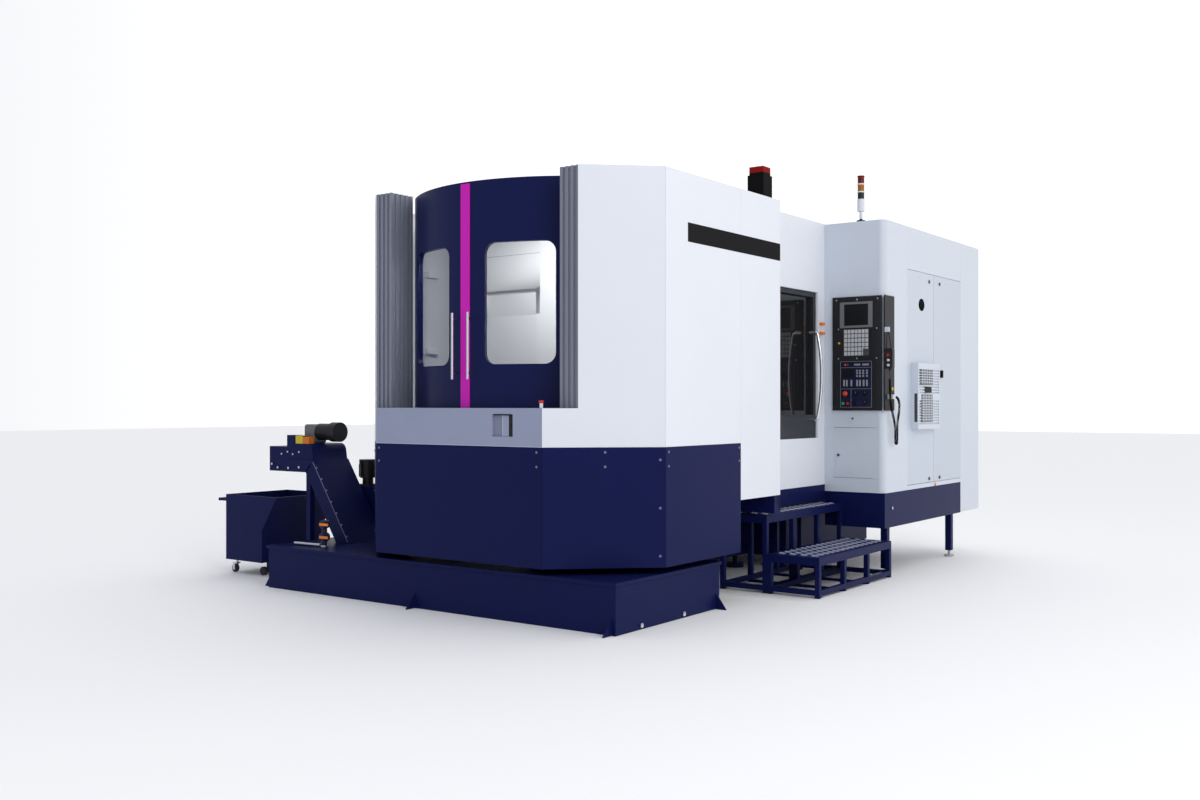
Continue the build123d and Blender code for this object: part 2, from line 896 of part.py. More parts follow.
# Rotary table: the clamp post that takes the pallet, on a spindle in the saddle
with BuildPart() as rotary_table:
    table_low = saddle_top + table_thick + slide_gap
    rod((0, table_y, table_low), (0, 0, 1), table_post_radius, pallet_bottom - lift - post_clear - table_low)
    rod((0, table_y, rail_top + slide_gap), (0, 0, 1), table_post_radius - rail_width,
        table_low - rail_top - slide_gap)
save(rotary_table, "rotary_table")

# Column: a sloped portal casting on the cross rails, slotted for the spindle head
with BuildPart() as column:
    rail_top = bed_top + rail_height
    column_foot_top = rail_top + column_foot
    column_line = [
        (column_front, rail_top + slide_gap), (column_back, rail_top + slide_gap),
        (column_back, column_foot_top),
        (column_slope_y, column_top), (column_front, column_top),
    ]
    outline(column_line, facing_right(column_x - column_half), 2 * column_half)
    block((column_x - slot_half, column_x + slot_half), (column_front - overrun, column_back + overrun),
          (slot_low, slot_top), Mode.SUBTRACT)
save(column, "column")

# Head drive on the column's top: flange, square servo motor and its cap
with BuildPart() as column_motor:
    half = motor_side / 2
    motor_y = column_front + motor_setback
    motor_low = column_top + motor_flange_thick
    motor_top = motor_low + motor_height
    block((column_x - motor_flange / 2, column_x + motor_flange / 2),
          (motor_y - motor_flange / 2, motor_y + motor_flange / 2), (column_top, motor_low))
    block((column_x - half, column_x + half), (motor_y - half, motor_y + half), (motor_low, motor_top))
    cap_half = half - motor_cap_inset
    with BuildSketch(at_height(motor_top)) as cap_face:
        with Locations((column_x, motor_y)):
            RectangleRounded(2 * cap_half, 2 * cap_half, motor_cap_inset)
    extrude(cap_face.sketch, amount=motor_cap)
save(column_motor, "column_motor")

# Spindle head: a box ram in the column's slot with a round nose, bored for the spindle
with BuildPart() as spindle_head:
    block((column_x - slot_half + slide_gap, column_x + slot_half - slide_gap), (head_front, head_back),
          (spindle_z - head_half_height, spindle_z + head_half_height))
    rod((column_x, head_front, spindle_z), (0, -1, 0), nose_radius, nose_length)
    rod((column_x, head_front - nose_length, spindle_z), (0, 1, 0), spindle_radius + shaft_gap,
        spindle_length,
        Mode.SUBTRACT)
save(spindle_head, "spindle_head")

# Spindle: the shaft in the head and its flange outside the nose
with BuildPart() as spindle:
    nose_y = head_front - nose_length
    rod((column_x, nose_y - slide_gap, spindle_z), (0, 1, 0), spindle_radius, spindle_length)
    rod((column_x, nose_y - slide_gap - spindle_flange, spindle_z), (0, 1, 0), spindle_flange_radius,
        spindle_flange)
    rod((column_x, nose_y - slide_gap - spindle_flange, spindle_z), (0, 1, 0), spindle_flange_radius / 3,
        spindle_flange,
        Mode.SUBTRACT)
save(spindle, "spindle")

# Tool magazine: a disc on the stand's axle with a ring of tool pockets
with BuildPart() as tool_magazine:
    rod((magazine_low_x, magazine_y, magazine_z), (1, 0, 0), magazine_radius, magazine_thick)
    rod((magazine_low_x, magazine_y, magazine_z), (1, 0, 0), magazine_axle_radius + shaft_gap, magazine_thick,
        Mode.SUBTRACT)
    pocket_plane = Plane(origin=(magazine_low_x + magazine_thick, magazine_y, magazine_z), z_dir=(1, 0, 0))
    with BuildSketch(pocket_plane) as pocket_ring:
        with PolarLocations(magazine_radius - pocket_inset_share * pocket_radius, pocket_count):
            Circle(pocket_radius)
    extrude(pocket_ring.sketch, amount=pocket_depth)
    with BuildSketch(pocket_plane) as rim_holes:
        with PolarLocations(magazine_hole_share * (magazine_radius + magazine_hub_radius), pocket_count // 4):
            Circle(magazine_hub_radius)
    extrude(rim_holes.sketch, amount=-magazine_thick, mode=Mode.SUBTRACT)
save(tool_magazine, "tool_magazine")

# Cabinet shell: sheet panels round the electrics, a rounded front corner, a storage bin and a closed rear bay
with BuildPart() as cabinet_shell:
    cabinet_z = (cabinet_low, cabinet_top)
    inner_x = (cabinet_left + sheet + seam, cabinet_right - sheet - seam)
    inner_y = (cabinet_front + sheet + seam, cabinet_split - seam)
    corner_x = cabinet_right - cabinet_corner
    corner_y = cabinet_front + cabinet_corner
    facet_y = (cabinet_front, cabinet_front + sheet)
    side_x = (cabinet_right - sheet, cabinet_right)
    block((cabinet_left, cabinet_left + sheet), (facet_y[1] + seam, cabinet_split), cabinet_z)
    block(inner_x, inner_y, (cabinet_low, cabinet_low + sheet))
    block(inner_x, inner_y, (cabinet_top - sheet, cabinet_top))
    block((cabinet_left, corner_x - seam), facet_y, (locker_top, cabinet_top))
    block((cabinet_left, corner_x - seam), facet_y, (cabinet_low, locker_low))
    block((cabinet_left, locker_left), facet_y, (locker_low + seam, locker_top - seam))
    block((locker_right, corner_x - seam), facet_y, (locker_low + seam, locker_top - seam))
    with BuildSketch(at_height(cabinet_low)) as corner_face:
        with BuildLine():
            CenterArc((corner_x, corner_y), cabinet_corner, -90, 90)
            Line((corner_x + cabinet_corner, corner_y), (corner_x + cabinet_corner - sheet, corner_y))
            CenterArc((corner_x, corner_y), cabinet_corner - sheet, 0, -90)
            Line((corner_x, corner_y - cabinet_corner + sheet), (corner_x, corner_y - cabinet_corner))
        make_face()
    extrude(corner_face.sketch, amount=cabinet_top - cabinet_low)
    block(side_x, (corner_y + seam, leaf_front - seam), cabinet_z)
    block(side_x, (leaf_front, cabinet_split), (leaf_top + seam, cabinet_top))
    block(side_x, (leaf_front, cabinet_split), (cabinet_low, cabinet_low + sill - seam))
    mullion_y = (leaf_parting - mullion / 2, leaf_parting + mullion / 2)
    block((side_x[0] - mullion, side_x[0] - seam), mullion_y,
          (cabinet_low + sheet + seam, cabinet_top - sheet - seam))
    block((cabinet_left, cabinet_right), (cabinet_split + seam, cabinet_back), (bay_low, cabinet_top))
    bin_y = (facet_y[1] + seam, facet_y[1] + bin_depth)
    block((locker_left, locker_right), bin_y, (locker_low, locker_top))
    block((locker_left + bin_wall, locker_right - bin_wall), (bin_y[0], bin_y[1] - bin_wall),
          (locker_low + bin_wall, locker_top - bin_wall), Mode.SUBTRACT)
save(cabinet_shell, "cabinet_shell")

# Navy plinth of the cabinet, on two square legs with screw feet at its outer side
with BuildPart() as cabinet_base:
    block((cabinet_left, cabinet_right), (cabinet_front, cabinet_split), (plinth_low, cabinet_low))
    leg_x = cabinet_right - leg_edge - leg_side / 2
    for leg_y in (leg_front_y, leg_back_y):
        leg_low = leg_foot_thick + leg_stud
        block((leg_x - leg_side / 2, leg_x + leg_side / 2), (leg_y - leg_side / 2, leg_y + leg_side / 2),
              (leg_low, plinth_low))
        rod((leg_x, leg_y, leg_foot_thick), (0, 0, 1), leg_stud_radius, leg_stud)
        rod((leg_x, leg_y, 0), (0, 0, 1), leg_foot_radius, leg_foot_thick)
save(cabinet_base, "cabinet_base")


def leaf_block(start, stop):
    """Flat door leaf, flush with the cabinet's right side."""
    block((cabinet_right - leaf_thick, cabinet_right), (start, stop),
          (cabinet_low + sill + leaf_gap, leaf_top - leaf_gap))


# Front cabinet door, with a sunk oval pull
with BuildPart() as cabinet_door_front:
    leaf_block(leaf_front, leaf_parting - leaf_gap / 2)
    with BuildSketch(facing_right(cabinet_right)) as pull_face:
        with Locations((oval_y, oval_z)):
            Ellipse(oval_length / 2, oval_height / 2)
    extrude(pull_face.sketch, amount=-oval_depth, mode=Mode.SUBTRACT)
save(cabinet_door_front, "cabinet_door_front")

# Rear cabinet door, bored for the main switch
with BuildPart() as cabinet_door_rear:
    leaf_block(leaf_parting + leaf_gap / 2, cabinet_split)
    rod((cabinet_right - leaf_thick, switch_y, switch_z), (1, 0, 0), switch_bar + shaft_gap, leaf_thick,
        Mode.SUBTRACT)
    block((cabinet_right, cabinet_right + switch_plate_thick),
          (switch_y - switch_plate / 2, switch_y + switch_plate / 2),
          (switch_z - switch_plate / 2, switch_z + switch_plate / 2))
    rod((cabinet_right, switch_y, switch_z), (1, 0, 0), switch_bar + shaft_gap, switch_plate_thick,
        Mode.SUBTRACT)
save(cabinet_door_rear, "cabinet_door_rear")

# Cooling unit on the front door: a shallow case with an upper and a lower louvre field
with BuildPart() as cooling_unit:
    cooler_x = (cabinet_right, cabinet_right + cooler_depth)
    block(cooler_x, (cooler_front, cooler_back), (cooler_low, cooler_top))
    cooler_height = cooler_top - cooler_low
    louvre_pitch = louvre_field_share * cooler_height / cooler_slots
    for field_share in louvre_low_shares:
        field_low = cooler_low + field_share * cooler_height
        for i in range(cooler_slots):
            louvre_z = field_low + i * louvre_pitch
            block((cooler_x[1] - cooler_slot_depth, cooler_x[1]),
                  (cooler_front + 2 * cooler_slot_depth, cooler_back - 2 * cooler_slot_depth),
                  (louvre_z, louvre_z + louvre_pitch / 2), Mode.SUBTRACT)
save(cooling_unit, "cooling_unit")

# Main switch: a round knob with a grip bar, on a shaft through the rear door
with BuildPart() as main_switch:
    knob_x = cabinet_right + switch_plate_thick + slide_gap
    rod((cabinet_right - leaf_thick, switch_y, switch_z), (1, 0, 0), switch_bar,
        leaf_thick + switch_plate_thick + slide_gap)
    rod((knob_x, switch_y, switch_z), (1, 0, 0), switch_radius, switch_height / 2)
    block((knob_x + switch_height / 2, knob_x + switch_height),
          (switch_y - switch_bar / 2, switch_y + switch_bar / 2),
          (switch_z - switch_radius, switch_z + switch_radius))
save(main_switch, "main_switch")

# Control electrics: a back plate with rows of drives and terminal blocks
with BuildPart() as control_electrics:
    plate_x = cabinet_left + sheet + seam
    electric_z = (cabinet_low + 2 * sheet + sill, cabinet_top - 4 * sheet)
    electric_y = (facet_y[1] + bin_depth + sheet, cabinet_split - 3 * sheet)
    block((plate_x, plate_x + electric_plate), electric_y, electric_z)
    module_shares = ((0.04, 0.44, 0.62, 0.95, 1.0), (0.50, 0.94, 0.62, 0.95, 0.8),
                     (0.04, 0.62, 0.36, 0.56, 0.7),
                     (0.68, 0.94, 0.36, 0.56, 0.9), (0.04, 0.94, 0.06, 0.28, 0.5))
    for y0, y1, z0, z1, reach in module_shares:
        wide = electric_y[1] - electric_y[0]
        tall = electric_z[1] - electric_z[0]
        block((plate_x + electric_plate, plate_x + electric_plate + reach * electric_depth),
              (electric_y[0] + y0 * wide, electric_y[0] + y1 * wide),
              (electric_z[0] + z0 * tall, electric_z[0] + z1 * tall))
save(control_electrics, "control_electrics")

# Storage door under the panel, with its round latch
with BuildPart() as storage_door:
    block((locker_left + seam, locker_right - seam), (cabinet_front, cabinet_front + locker_thick),
          (locker_low + leaf_gap, locker_top - leaf_gap))
    rod((latch_x, cabinet_front, latch_z), (0, -1, 0), latch_radius, latch_height)
save(storage_door, "storage_door")

# Operator panel: a black housing with three sunk fields, a control plate in the lowest and a wing on the side
panel_face = cabinet_front - panel_thick
with BuildPart() as panel_housing:
    block((panel_left, panel_right), (panel_face, cabinet_front), (panel_low, panel_top))
    front_edges = panel_housing.faces().sort_by(Axis.Y)[0].edges()
    chamfer(front_edges, panel_edge)
    for x0, x1, z0, z1 in ((bezel_left, bezel_right, bezel_low, bezel_top),
                           (keyboard_left, keyboard_right, keyboard_low, keyboard_top),
                           (plate_left, plate_right, plate_low, plate_top)):
        block((x0 - seam, x1 + seam), (panel_face, panel_face + panel_recess), (z0 - seam, z1 + seam),
              Mode.SUBTRACT)
    block((plate_left, plate_right), (panel_face - plate_proud, panel_face + panel_recess),
          (plate_low, plate_top))
    rod((selector_x, panel_face - plate_proud, selector_z), (0, -1, 0), selector_radius, button_height)
    for x, z, r in ((estop_x, estop_z, estop_stem), (start_x, button_z, button_radius),
                    (stop_x, button_z, button_radius)):
        rod((x, panel_face - plate_proud, z), (0, 1, 0), r + shaft_gap, panel_thick - panel_recess / 2,
            Mode.SUBTRACT)
    block((cabinet_right, cabinet_right + wing_thick), (panel_face, wing_back), (panel_low, panel_top))
save(panel_housing, "panel_housing")

# Display with its framed screen, and the keyboard under it
with BuildPart() as display_unit:
    display_y = (panel_face - bezel_proud, panel_face + panel_recess)
    block((bezel_left, bezel_right), display_y, (bezel_low, bezel_top))
    screen_x = (bezel_left + screen_margin, bezel_right - screen_margin)
    screen_z = (bezel_low + screen_margin / 2, bezel_top - screen_margin / 2)
    block(screen_x, (display_y[0], display_y[0] + screen_sink), screen_z, Mode.SUBTRACT)
    block((keyboard_left, keyboard_right), (panel_face, display_y[1]), (keyboard_low, keyboard_top))
    key_width = (keyboard_right - keyboard_left - key_gap) / key_columns
    key_tall = (keyboard_top - keyboard_low - key_gap) / key_rows
    for row in range(key_rows):
        for key in range(key_columns):
            key_x = keyboard_left + key_gap + key * key_width
            key_z = keyboard_low + key_gap + row * key_tall
            block((key_x, key_x + key_width - key_gap), (panel_face - key_height, panel_face),
                  (key_z, key_z + key_tall - key_gap))
save(display_unit, "display_unit")

# Emergency button: a mushroom head on a stem in the control plate
plate_face = panel_face - plate_proud
with BuildPart() as emergency_button:
    head_y = plate_face - estop_travel - slide_gap
    rod((estop_x, plate_face + button_height, estop_z), (0, -1, 0), estop_stem,
        plate_face + button_height - head_y)
    rod((estop_x, head_y, estop_z), (0, -1, 0), estop_radius, estop_height / 2)
    rod((estop_x, head_y - estop_height / 2, estop_z), (0, -1, 0), estop_stem, estop_height / 6)
save(emergency_button, "emergency_button")

# Start and stop buttons: plain round caps in the control plate
for cap_x, word in ((start_x, "start"), (stop_x, "stop")):
    with BuildPart() as push_button:
        rod((cap_x, plate_face + button_height, button_z), (0, -1, 0), button_radius, 2 * button_height)
    save(push_button, f"{word}_button")

# Hand pendant hung on the panel's wing and facing the operator, with its knobs, and the socket for its lead
wing_face = cabinet_right + wing_thick
pendant_x = (wing_face, wing_face + pendant_width)
pendant_y = (panel_face - pendant_ahead, panel_face - pendant_ahead + pendant_depth)
cord_x = wing_face + pendant_width / 2
cord_route = [
    (3465, 1789), (3466, 1700), (3468, 1610), (3480, 1520), (3520, 1430), (3567, 1360), (3587, 1290),
    (3589, 1230),
    (3589, 1176), (3596, 1159), (3612, 1152), (3628, 1159), (3635, 1176), (3635, 1230), (3637, 1300),
    (3650, 1370),
    (3676, 1430), (3688, 1490), (3664, 1545), (3610, 1566), (3545, 1566),
]
with BuildPart() as pendant:
    block(pendant_x, pendant_y, (pendant_low, pendant_top))
    chamfer(pendant.edges().filter_by(Axis.Y), pendant_chamfer)
    rod((cord_x, pendant_y[0], dial_z), (0, 1, 0), dial_pin + shaft_gap, dial_height, Mode.SUBTRACT)
    for knob in (1, 2):
        rod((cord_x, pendant_y[0], dial_z - knob * knob_pitch), (0, -1, 0), knob_radius, knob_height)
    rod((cord_x, cord_route[0][0], pendant_low - gland_height), (0, 0, 1), gland_radius,
        gland_height + pendant_chamfer)
    socket_y, socket_z = cord_route[-1]
    block((wing_face, cord_x + socket_height / 2), (socket_y - socket_length, socket_y),
          (socket_z - socket_height / 2, socket_z + socket_height / 2))
save(pendant, "pendant")

# Pulse dial of the pendant, on a pin in its face
with BuildPart() as pendant_dial:
    rod((cord_x, pendant_y[0] + dial_height, dial_z), (0, -1, 0), dial_pin, dial_height + slide_gap)
    rod((cord_x, pendant_y[0] - slide_gap, dial_z), (0, -1, 0), dial_radius, dial_height)
save(pendant_dial, "pendant_dial")


def bend_radii(points):
    """Bend radius at each inner point of a route: as large as its two runs allow."""
    radii = []
    for before, here, after in zip(points, points[1:], points[2:]):
        run_in = Vector(*here) - Vector(*before)
        run_out = Vector(*after) - Vector(*here)
        half_turn = radians(run_in.get_angle(run_out)) / 2
        radii.append(bend_share * min(run_in.length, run_out.length) * cos(half_turn) / sin(half_turn))
    return radii


# Curly lead of the pendant: a hanging loop from the gland to the socket
with BuildPart() as pendant_cord:
    cord_bends = bend_radii(cord_route)
    with BuildLine(facing_right(cord_x)) as cord_line:
        FilletPolyline(*cord_route, radius=cord_bends)
    with BuildSketch(Plane(origin=cord_line.line @ 0, z_dir=cord_line.line % 0)):
        Circle(cord_radius)
    sweep(path=cord_line.line)
print("bend radii", [round(r) for r in cord_bends], "length", round(cord_line.wires()[0].length))
save(pendant_cord, "pendant_cord")

# Signal tower: foot, neck, base and three stacked lamps between dark rings
with BuildPart() as signal_tower:
    rod((tower_x, tower_y, cabinet_top), (0, 0, 1), tower_foot_radius, tower_foot)
    rod((tower_x, tower_y, cabinet_top + tower_foot), (0, 0, 1), tower_neck_radius,
        tower_base_low - cabinet_top - tower_foot)
    rod((tower_x, tower_y, tower_base_low), (0, 0, 1), tower_radius, tower_lamp_low - tower_base_low)
    lamp_pitch = (tower_top - tower_lamp_low) / 3
    for i in range(3):
        lamp_low = tower_lamp_low + i * lamp_pitch
        rod((tower_x, tower_y, lamp_low), (0, 0, 1), tower_radius - tower_ring / 3, lamp_pitch - tower_ring)
        rod((tower_x, tower_y, lamp_low + lamp_pitch - tower_ring), (0, 0, 1), tower_radius, tower_ring)
save(signal_tower, "signal_tower")

# Coolant tank: a long welded box with an overhanging lid, plate gussets at its foot and a pump box on its lid
conveyor_far = conveyor_near + conveyor_width
pump_box_x = (tank_left + pump_box_inset, tank_left + pump_box_inset + pump_box_length)
pump_box_y = (conveyor_far + pump_box_gap, conveyor_far + pump_box_gap + pump_box_depth)
with BuildPart() as coolant_tank:
    tank_body_top = tank_top - tank_lid
    block((tank_left, tank_right), (tank_front, tank_back), (0, tank_body_top))
    block((tank_left - tank_lip, tank_right + tank_lip), (tank_front - tank_lip, tank_back + tank_lip),
          (tank_body_top, tank_top))
    block(pump_box_x, pump_box_y, (tank_top, pump_box_top))
    side_line = [(tank_front, 0), (tank_front, gusset_height), (tank_front - gusset_reach, 0)]
    for gusset_x in (tank_left + front_gusset_share * (tank_right - tank_left), tank_right - gusset_inset):
        outline(side_line, facing_right(gusset_x), gusset_thick)
    for end, reach, gusset_y in ((tank_left, -gusset_reach, tank_front + gusset_inset),
                                 (tank_right, gusset_reach, tank_back - gusset_inset)):
        end_line = [(end, 0), (end, gusset_height), (end + reach, 0)]
        outline(end_line, facing_front(gusset_y), gusset_thick)
save(coolant_tank, "coolant_tank")

# Coolant pumps: two upright motor pumps on their box, and a standpipe with two ball valves on the tank
manifold_x = tank_left + manifold_inset
pump_body_top = pump_box_top + pump_flange_thick + pump_body_height
pump_motor_top = pump_body_top + pump_motor_height
pump_y = pump_box_y[0] + pump_inset
with BuildPart() as coolant_pumps:
    for i in range(2):
        x = pump_box_x[0] + pump_inset + i * pump_pitch
        for radius, low, high in ((pump_flange_radius, pump_box_top, pump_box_top + pump_flange_thick),
                                  (pump_body_radius, pump_box_top + pump_flange_thick, pump_body_top),
                                  (pump_motor_radius, pump_body_top, pump_motor_top),
                                  (pump_fan_radius, pump_motor_top, pump_motor_top + pump_fan_height)):
            rod((x, pump_y, low), (0, 0, 1), radius, high - low)
        with BuildSketch(at_height(pump_body_top + pump_fin)) as fins:
            with Locations((x, pump_y)):
                with PolarLocations(pump_motor_radius, pump_fins):
                    Rectangle(2 * pump_fin, pump_fin / 2)
        extrude(fins.sketch, amount=pump_motor_height - pump_fin)
    rod((manifold_x, manifold_y, tank_top), (0, 0, 1), manifold_radius, manifold_top - tank_top)
    for valve_z in (valve_low_z, valve_high_z):
        rod((manifold_x, manifold_y + valve_length / 2, valve_z), (0, -1, 0), valve_radius, valve_length)
        rod((manifold_x, manifold_y - valve_length / 2, valve_z), (0, 1, 0), lever_pin_radius + shaft_gap,
            lever_pin_length,
            Mode.SUBTRACT)
save(coolant_pumps, "coolant_pumps")

# Valve levers: flat handles on a pin in each valve
for valve_z, word in ((valve_low_z, "low"), (valve_high_z, "high")):
    with BuildPart() as lever:
        lever_y = manifold_y - valve_length / 2 - slide_gap
        rod((manifold_x, lever_y + lever_pin_length - slide_gap, valve_z), (0, -1, 0), lever_pin_radius,
            lever_pin_length)
        block((manifold_x - lever_width, manifold_x + lever_length), (lever_y - lever_thick, lever_y),
              (valve_z - lever_width / 2, valve_z + lever_width / 2))
    save(lever, f"valve_lever_{word}")

# Chip conveyor: a folded casing that climbs out of the tank to a head with an open chute, on two posts.
# Angle flanges run up both edges of its cover, and bearing plates close the sides of the head.
head_left = tank_left - head_overhang
crown_left = head_left + head_step
crown_right = crown_left + crown_length
neck_x = crown_right + neck_run
foot_x = neck_x + incline_run
under_x = foot_x - incline_thick - (head_low - tank_top) * incline_run / (neck_z - tank_top)
with BuildPart() as conveyor_casing:
    casing_line = [
        (head_left, head_low), (under_x, head_low), (foot_x - incline_thick, tank_top), (foot_x, tank_top),
        (neck_x, neck_z), (crown_right, crown_z), (crown_left, crown_z), (crown_left, head_top),
        (head_left, head_top),
    ]
    outline(casing_line, facing_front(conveyor_far), conveyor_width)
    crown_edges = conveyor_casing.edges().filter_by(Axis.Y).group_by(Axis.Z)[-1].sort_by(Axis.X)
    fillet(crown_edges[-1], crown_round)
    flange_line = [(neck_x - flange_run, neck_z), (neck_x, neck_z), (foot_x, tank_top),
                   (foot_x - flange_run, tank_top)]
    plate_line = [(crown_left, head_low), (under_x, head_low), (neck_x, neck_z), (crown_left, neck_z)]
    for line, proud in ((flange_line, flange_proud), (plate_line, plate_over)):
        for flange_y in (conveyor_near, conveyor_far + proud):
            outline(line, facing_front(flange_y), proud)
    block((crown_left, crown_left + box_length), (conveyor_near, conveyor_near + box_depth),
          (crown_z, crown_z + box_height))
    chute_left = head_left + chute_inset
    block((chute_left, chute_left + chute_length),
          (conveyor_near + conveyor_wall, conveyor_far - conveyor_wall),
          (head_low, head_top - chute_inset), Mode.SUBTRACT)
    post_right = tank_left - tank_lip - seam
    post_x = (post_right - support_side, post_right)
    for post_y in (conveyor_near, conveyor_far - support_side):
        block(post_x, (post_y, post_y + support_side), (0, head_low))
save(conveyor_casing, "conveyor_casing")

# Gear motor on the conveyor's crown: worm box, motor, fan cover and two sensor boxes beside it
with BuildPart() as conveyor_drive:
    drive_y = conveyor_near + conveyor_width / 2
    drive_z = crown_z + drive_rise
    gearbox_x = crown_left + gearbox_inset
    gearbox_right = gearbox_x + gearbox_side / 2
    block((gearbox_x - gearbox_side / 2, gearbox_right),
          (drive_y - gearbox_side / 2, drive_y + gearbox_side / 2),
          (crown_z, drive_z + gearbox_side / 2))
    chamfer(conveyor_drive.edges().filter_by(Axis.Y), gearbox_side / 8)
    rod((gearbox_right, drive_y, drive_z), (1, 0, 0), drive_motor_radius, drive_motor_length)
    rod((gearbox_right + drive_motor_length, drive_y, drive_z), (1, 0, 0), drive_fan_radius, drive_fan_length)
    sensor_x = crown_left + box_length + sensor_gap
    for length, height in zip(sensor_lengths, sensor_heights):
        block((sensor_x, sensor_x + length),
              (conveyor_near + sensor_gap, conveyor_near + sensor_gap + sensor_depth),
              (crown_z, crown_z + height))
        sensor_x += length
save(conveyor_drive, "conveyor_drive")

# Chip cart: a sheet hopper with a slanted front, a base, axle hangers and a push handle
cart_far = cart_near + cart_depth
axle_x = cart_slant_x - axle_x_inset
caster_x = cart_left + caster_inset
caster_ys = (cart_near + caster_inset, cart_far - caster_inset)
with BuildPart() as cart_body:
    hopper = [
        (cart_left, cart_band), (cart_slant_x, cart_band), (cart_slant_x, cart_slant_z),
        (cart_right, cart_rim),
        (cart_left, cart_rim),
    ]
    outline(hopper, facing_front(cart_far), cart_depth)
    hollow = [
        (cart_left + cart_wall, cart_band + cart_wall), (cart_slant_x - cart_wall, cart_band + cart_wall),
        (cart_slant_x - cart_wall, cart_slant_z), (cart_right - slant_wall_share * cart_wall, cart_rim),
        (cart_left + cart_wall, cart_rim),
    ]
    outline(hollow, facing_front(cart_far - cart_wall), cart_depth - 2 * cart_wall, Mode.SUBTRACT)
    block((cart_left, cart_slant_x), (cart_near, cart_far), (cart_low, cart_band))
    for caster_y in caster_ys:
        rod((caster_x, caster_y, cart_low), (0, 0, 1), stem_radius + shaft_gap, stem_height + seam,
            Mode.SUBTRACT)
    for hanger_y in (cart_near + 2 * caster_inset, cart_far - 2 * caster_inset):
        block((axle_x - wheel_width, axle_x + wheel_width), (hanger_y - fork_plate, hanger_y + fork_plate),
              (wheel_radius - stem_radius - fork_plate, cart_low))
        rod((axle_x, hanger_y - fork_plate, wheel_radius), (0, 1, 0), stem_radius + shaft_gap,
            2 * fork_plate, Mode.SUBTRACT)
    cart_handle_z = cart_rim - cart_handle_drop
    arm_ys = (cart_near + cart_handle_inset, cart_far - cart_handle_inset)
    for arm_y in arm_ys:
        rod((cart_left + cart_wall / 2, arm_y, cart_handle_z), (-1, 0, 0), cart_handle_radius - seam,
            cart_handle_reach + cart_wall / 2)
    rod((cart_left - cart_handle_reach, arm_ys[0] - cart_handle_radius, cart_handle_z), (0, 1, 0),
        cart_handle_radius,
        arm_ys[1] - arm_ys[0] + 2 * cart_handle_radius)
save(cart_body, "cart_body")

# Swivel casters at the handle end: a forked bracket on a stem and a wheel on its pin
for caster_y, word in zip(caster_ys, ("near", "far")):
    wheel_x = caster_x - caster_trail
    cheek = wheel_width / 2 + fork_gap
    fork_low = 2 * wheel_radius + fork_gap
    with BuildPart() as caster_fork:
        rod((caster_x, caster_y, fork_low + fork_top), (0, 0, 1), stem_radius,
            cart_low + stem_height - fork_low - fork_top)
        block((wheel_x - stem_radius - fork_plate, caster_x + stem_radius + fork_plate),
              (caster_y - cheek - fork_plate, caster_y + cheek + fork_plate), (fork_low, fork_low + fork_top))
        for cheek_y in (caster_y - cheek - fork_plate, caster_y + cheek):
            block((wheel_x - stem_radius - fork_plate, wheel_x + stem_radius + fork_plate),
                  (cheek_y, cheek_y + fork_plate),
                  (wheel_radius - stem_radius - fork_plate, fork_low))
        rod((wheel_x, caster_y - cheek, wheel_radius), (0, 1, 0), wheel_bore - shaft_gap, 2 * cheek)
    save(caster_fork, f"caster_fork_{word}")
    with BuildPart() as caster_wheel:
        rod((wheel_x, caster_y - wheel_width / 2, wheel_radius), (0, 1, 0), wheel_radius, wheel_width)
        rod((wheel_x, caster_y - wheel_width / 2, wheel_radius), (0, 1, 0), wheel_bore, wheel_width,
            Mode.SUBTRACT)
    save(caster_wheel, f"caster_wheel_{word}")

# Fixed axle of the cart with its two wheels
with BuildPart() as cart_axle:
    axle_y = (cart_near + caster_inset, cart_far - caster_inset)
    rod((axle_x, axle_y[0], wheel_radius), (0, 1, 0), stem_radius, axle_y[1] - axle_y[0])
    for wheel_y in (axle_y[0], axle_y[1] - wheel_width):
        rod((axle_x, wheel_y, wheel_radius), (0, 1, 0), wheel_radius, wheel_width)
save(cart_axle, "cart_axle")


def tier_frame(x, top):
    """Square-tube frame of one step."""
    legs_y = [step_front + i * (step_back - step_front - tube) / 3 for i in range(4)]
    for leg_x in (x[0], x[1] - tube):
        for leg_y in legs_y:
            block((leg_x, leg_x + tube), (leg_y, leg_y + tube), (0, top - tread))
        for rail_z in (tube / 2, top - tread - tube):
            block((leg_x, leg_x + tube), (step_front, step_back), (rail_z, rail_z + tube))
    for rail_z in (tube / 2, top - tread - tube):
        for end_y in (legs_y[0], legs_y[-1]):
            block(x, (end_y, end_y + tube), (rail_z, rail_z + tube))
    for cross_y in legs_y[1:-1]:
        block(x, (cross_y, cross_y + tube), (0, tube / 2))


def tier_tread(x, top):
    """Tread plate with rows of diamond grips pierced through it."""
    block(x, (step_front, step_back), (top - tread, top))
    columns = int((x[1] - x[0] - tread_pitch) // tread_pitch) + 1
    rows = int((step_back - step_front - tread_pitch) // tread_pitch) + 1
    with BuildSketch(at_height(top)) as grips:
        with Locations(((x[0] + x[1]) / 2, (step_front + step_back) / 2)):
            with GridLocations(tread_pitch, tread_pitch, columns, rows):
                Rectangle(tread_hole, tread_hole, rotation=45)
    extrude(grips.sketch, amount=-tread, mode=Mode.SUBTRACT)


# Two-step platform: tube frames and pierced tread plates
with BuildPart() as step_platform:
    tier_frame((step_left, step_nose - seam), step_high_z)
    tier_tread((step_left, step_nose - seam), step_high_z)
    tier_frame((step_nose, step_right), step_low_z)
    tier_tread((step_nose, step_right), step_low_z)
save(step_platform, "step_platform")
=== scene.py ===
import bpy
import json
from math import cos, pi, radians, sin
from mathutils import Matrix, Vector


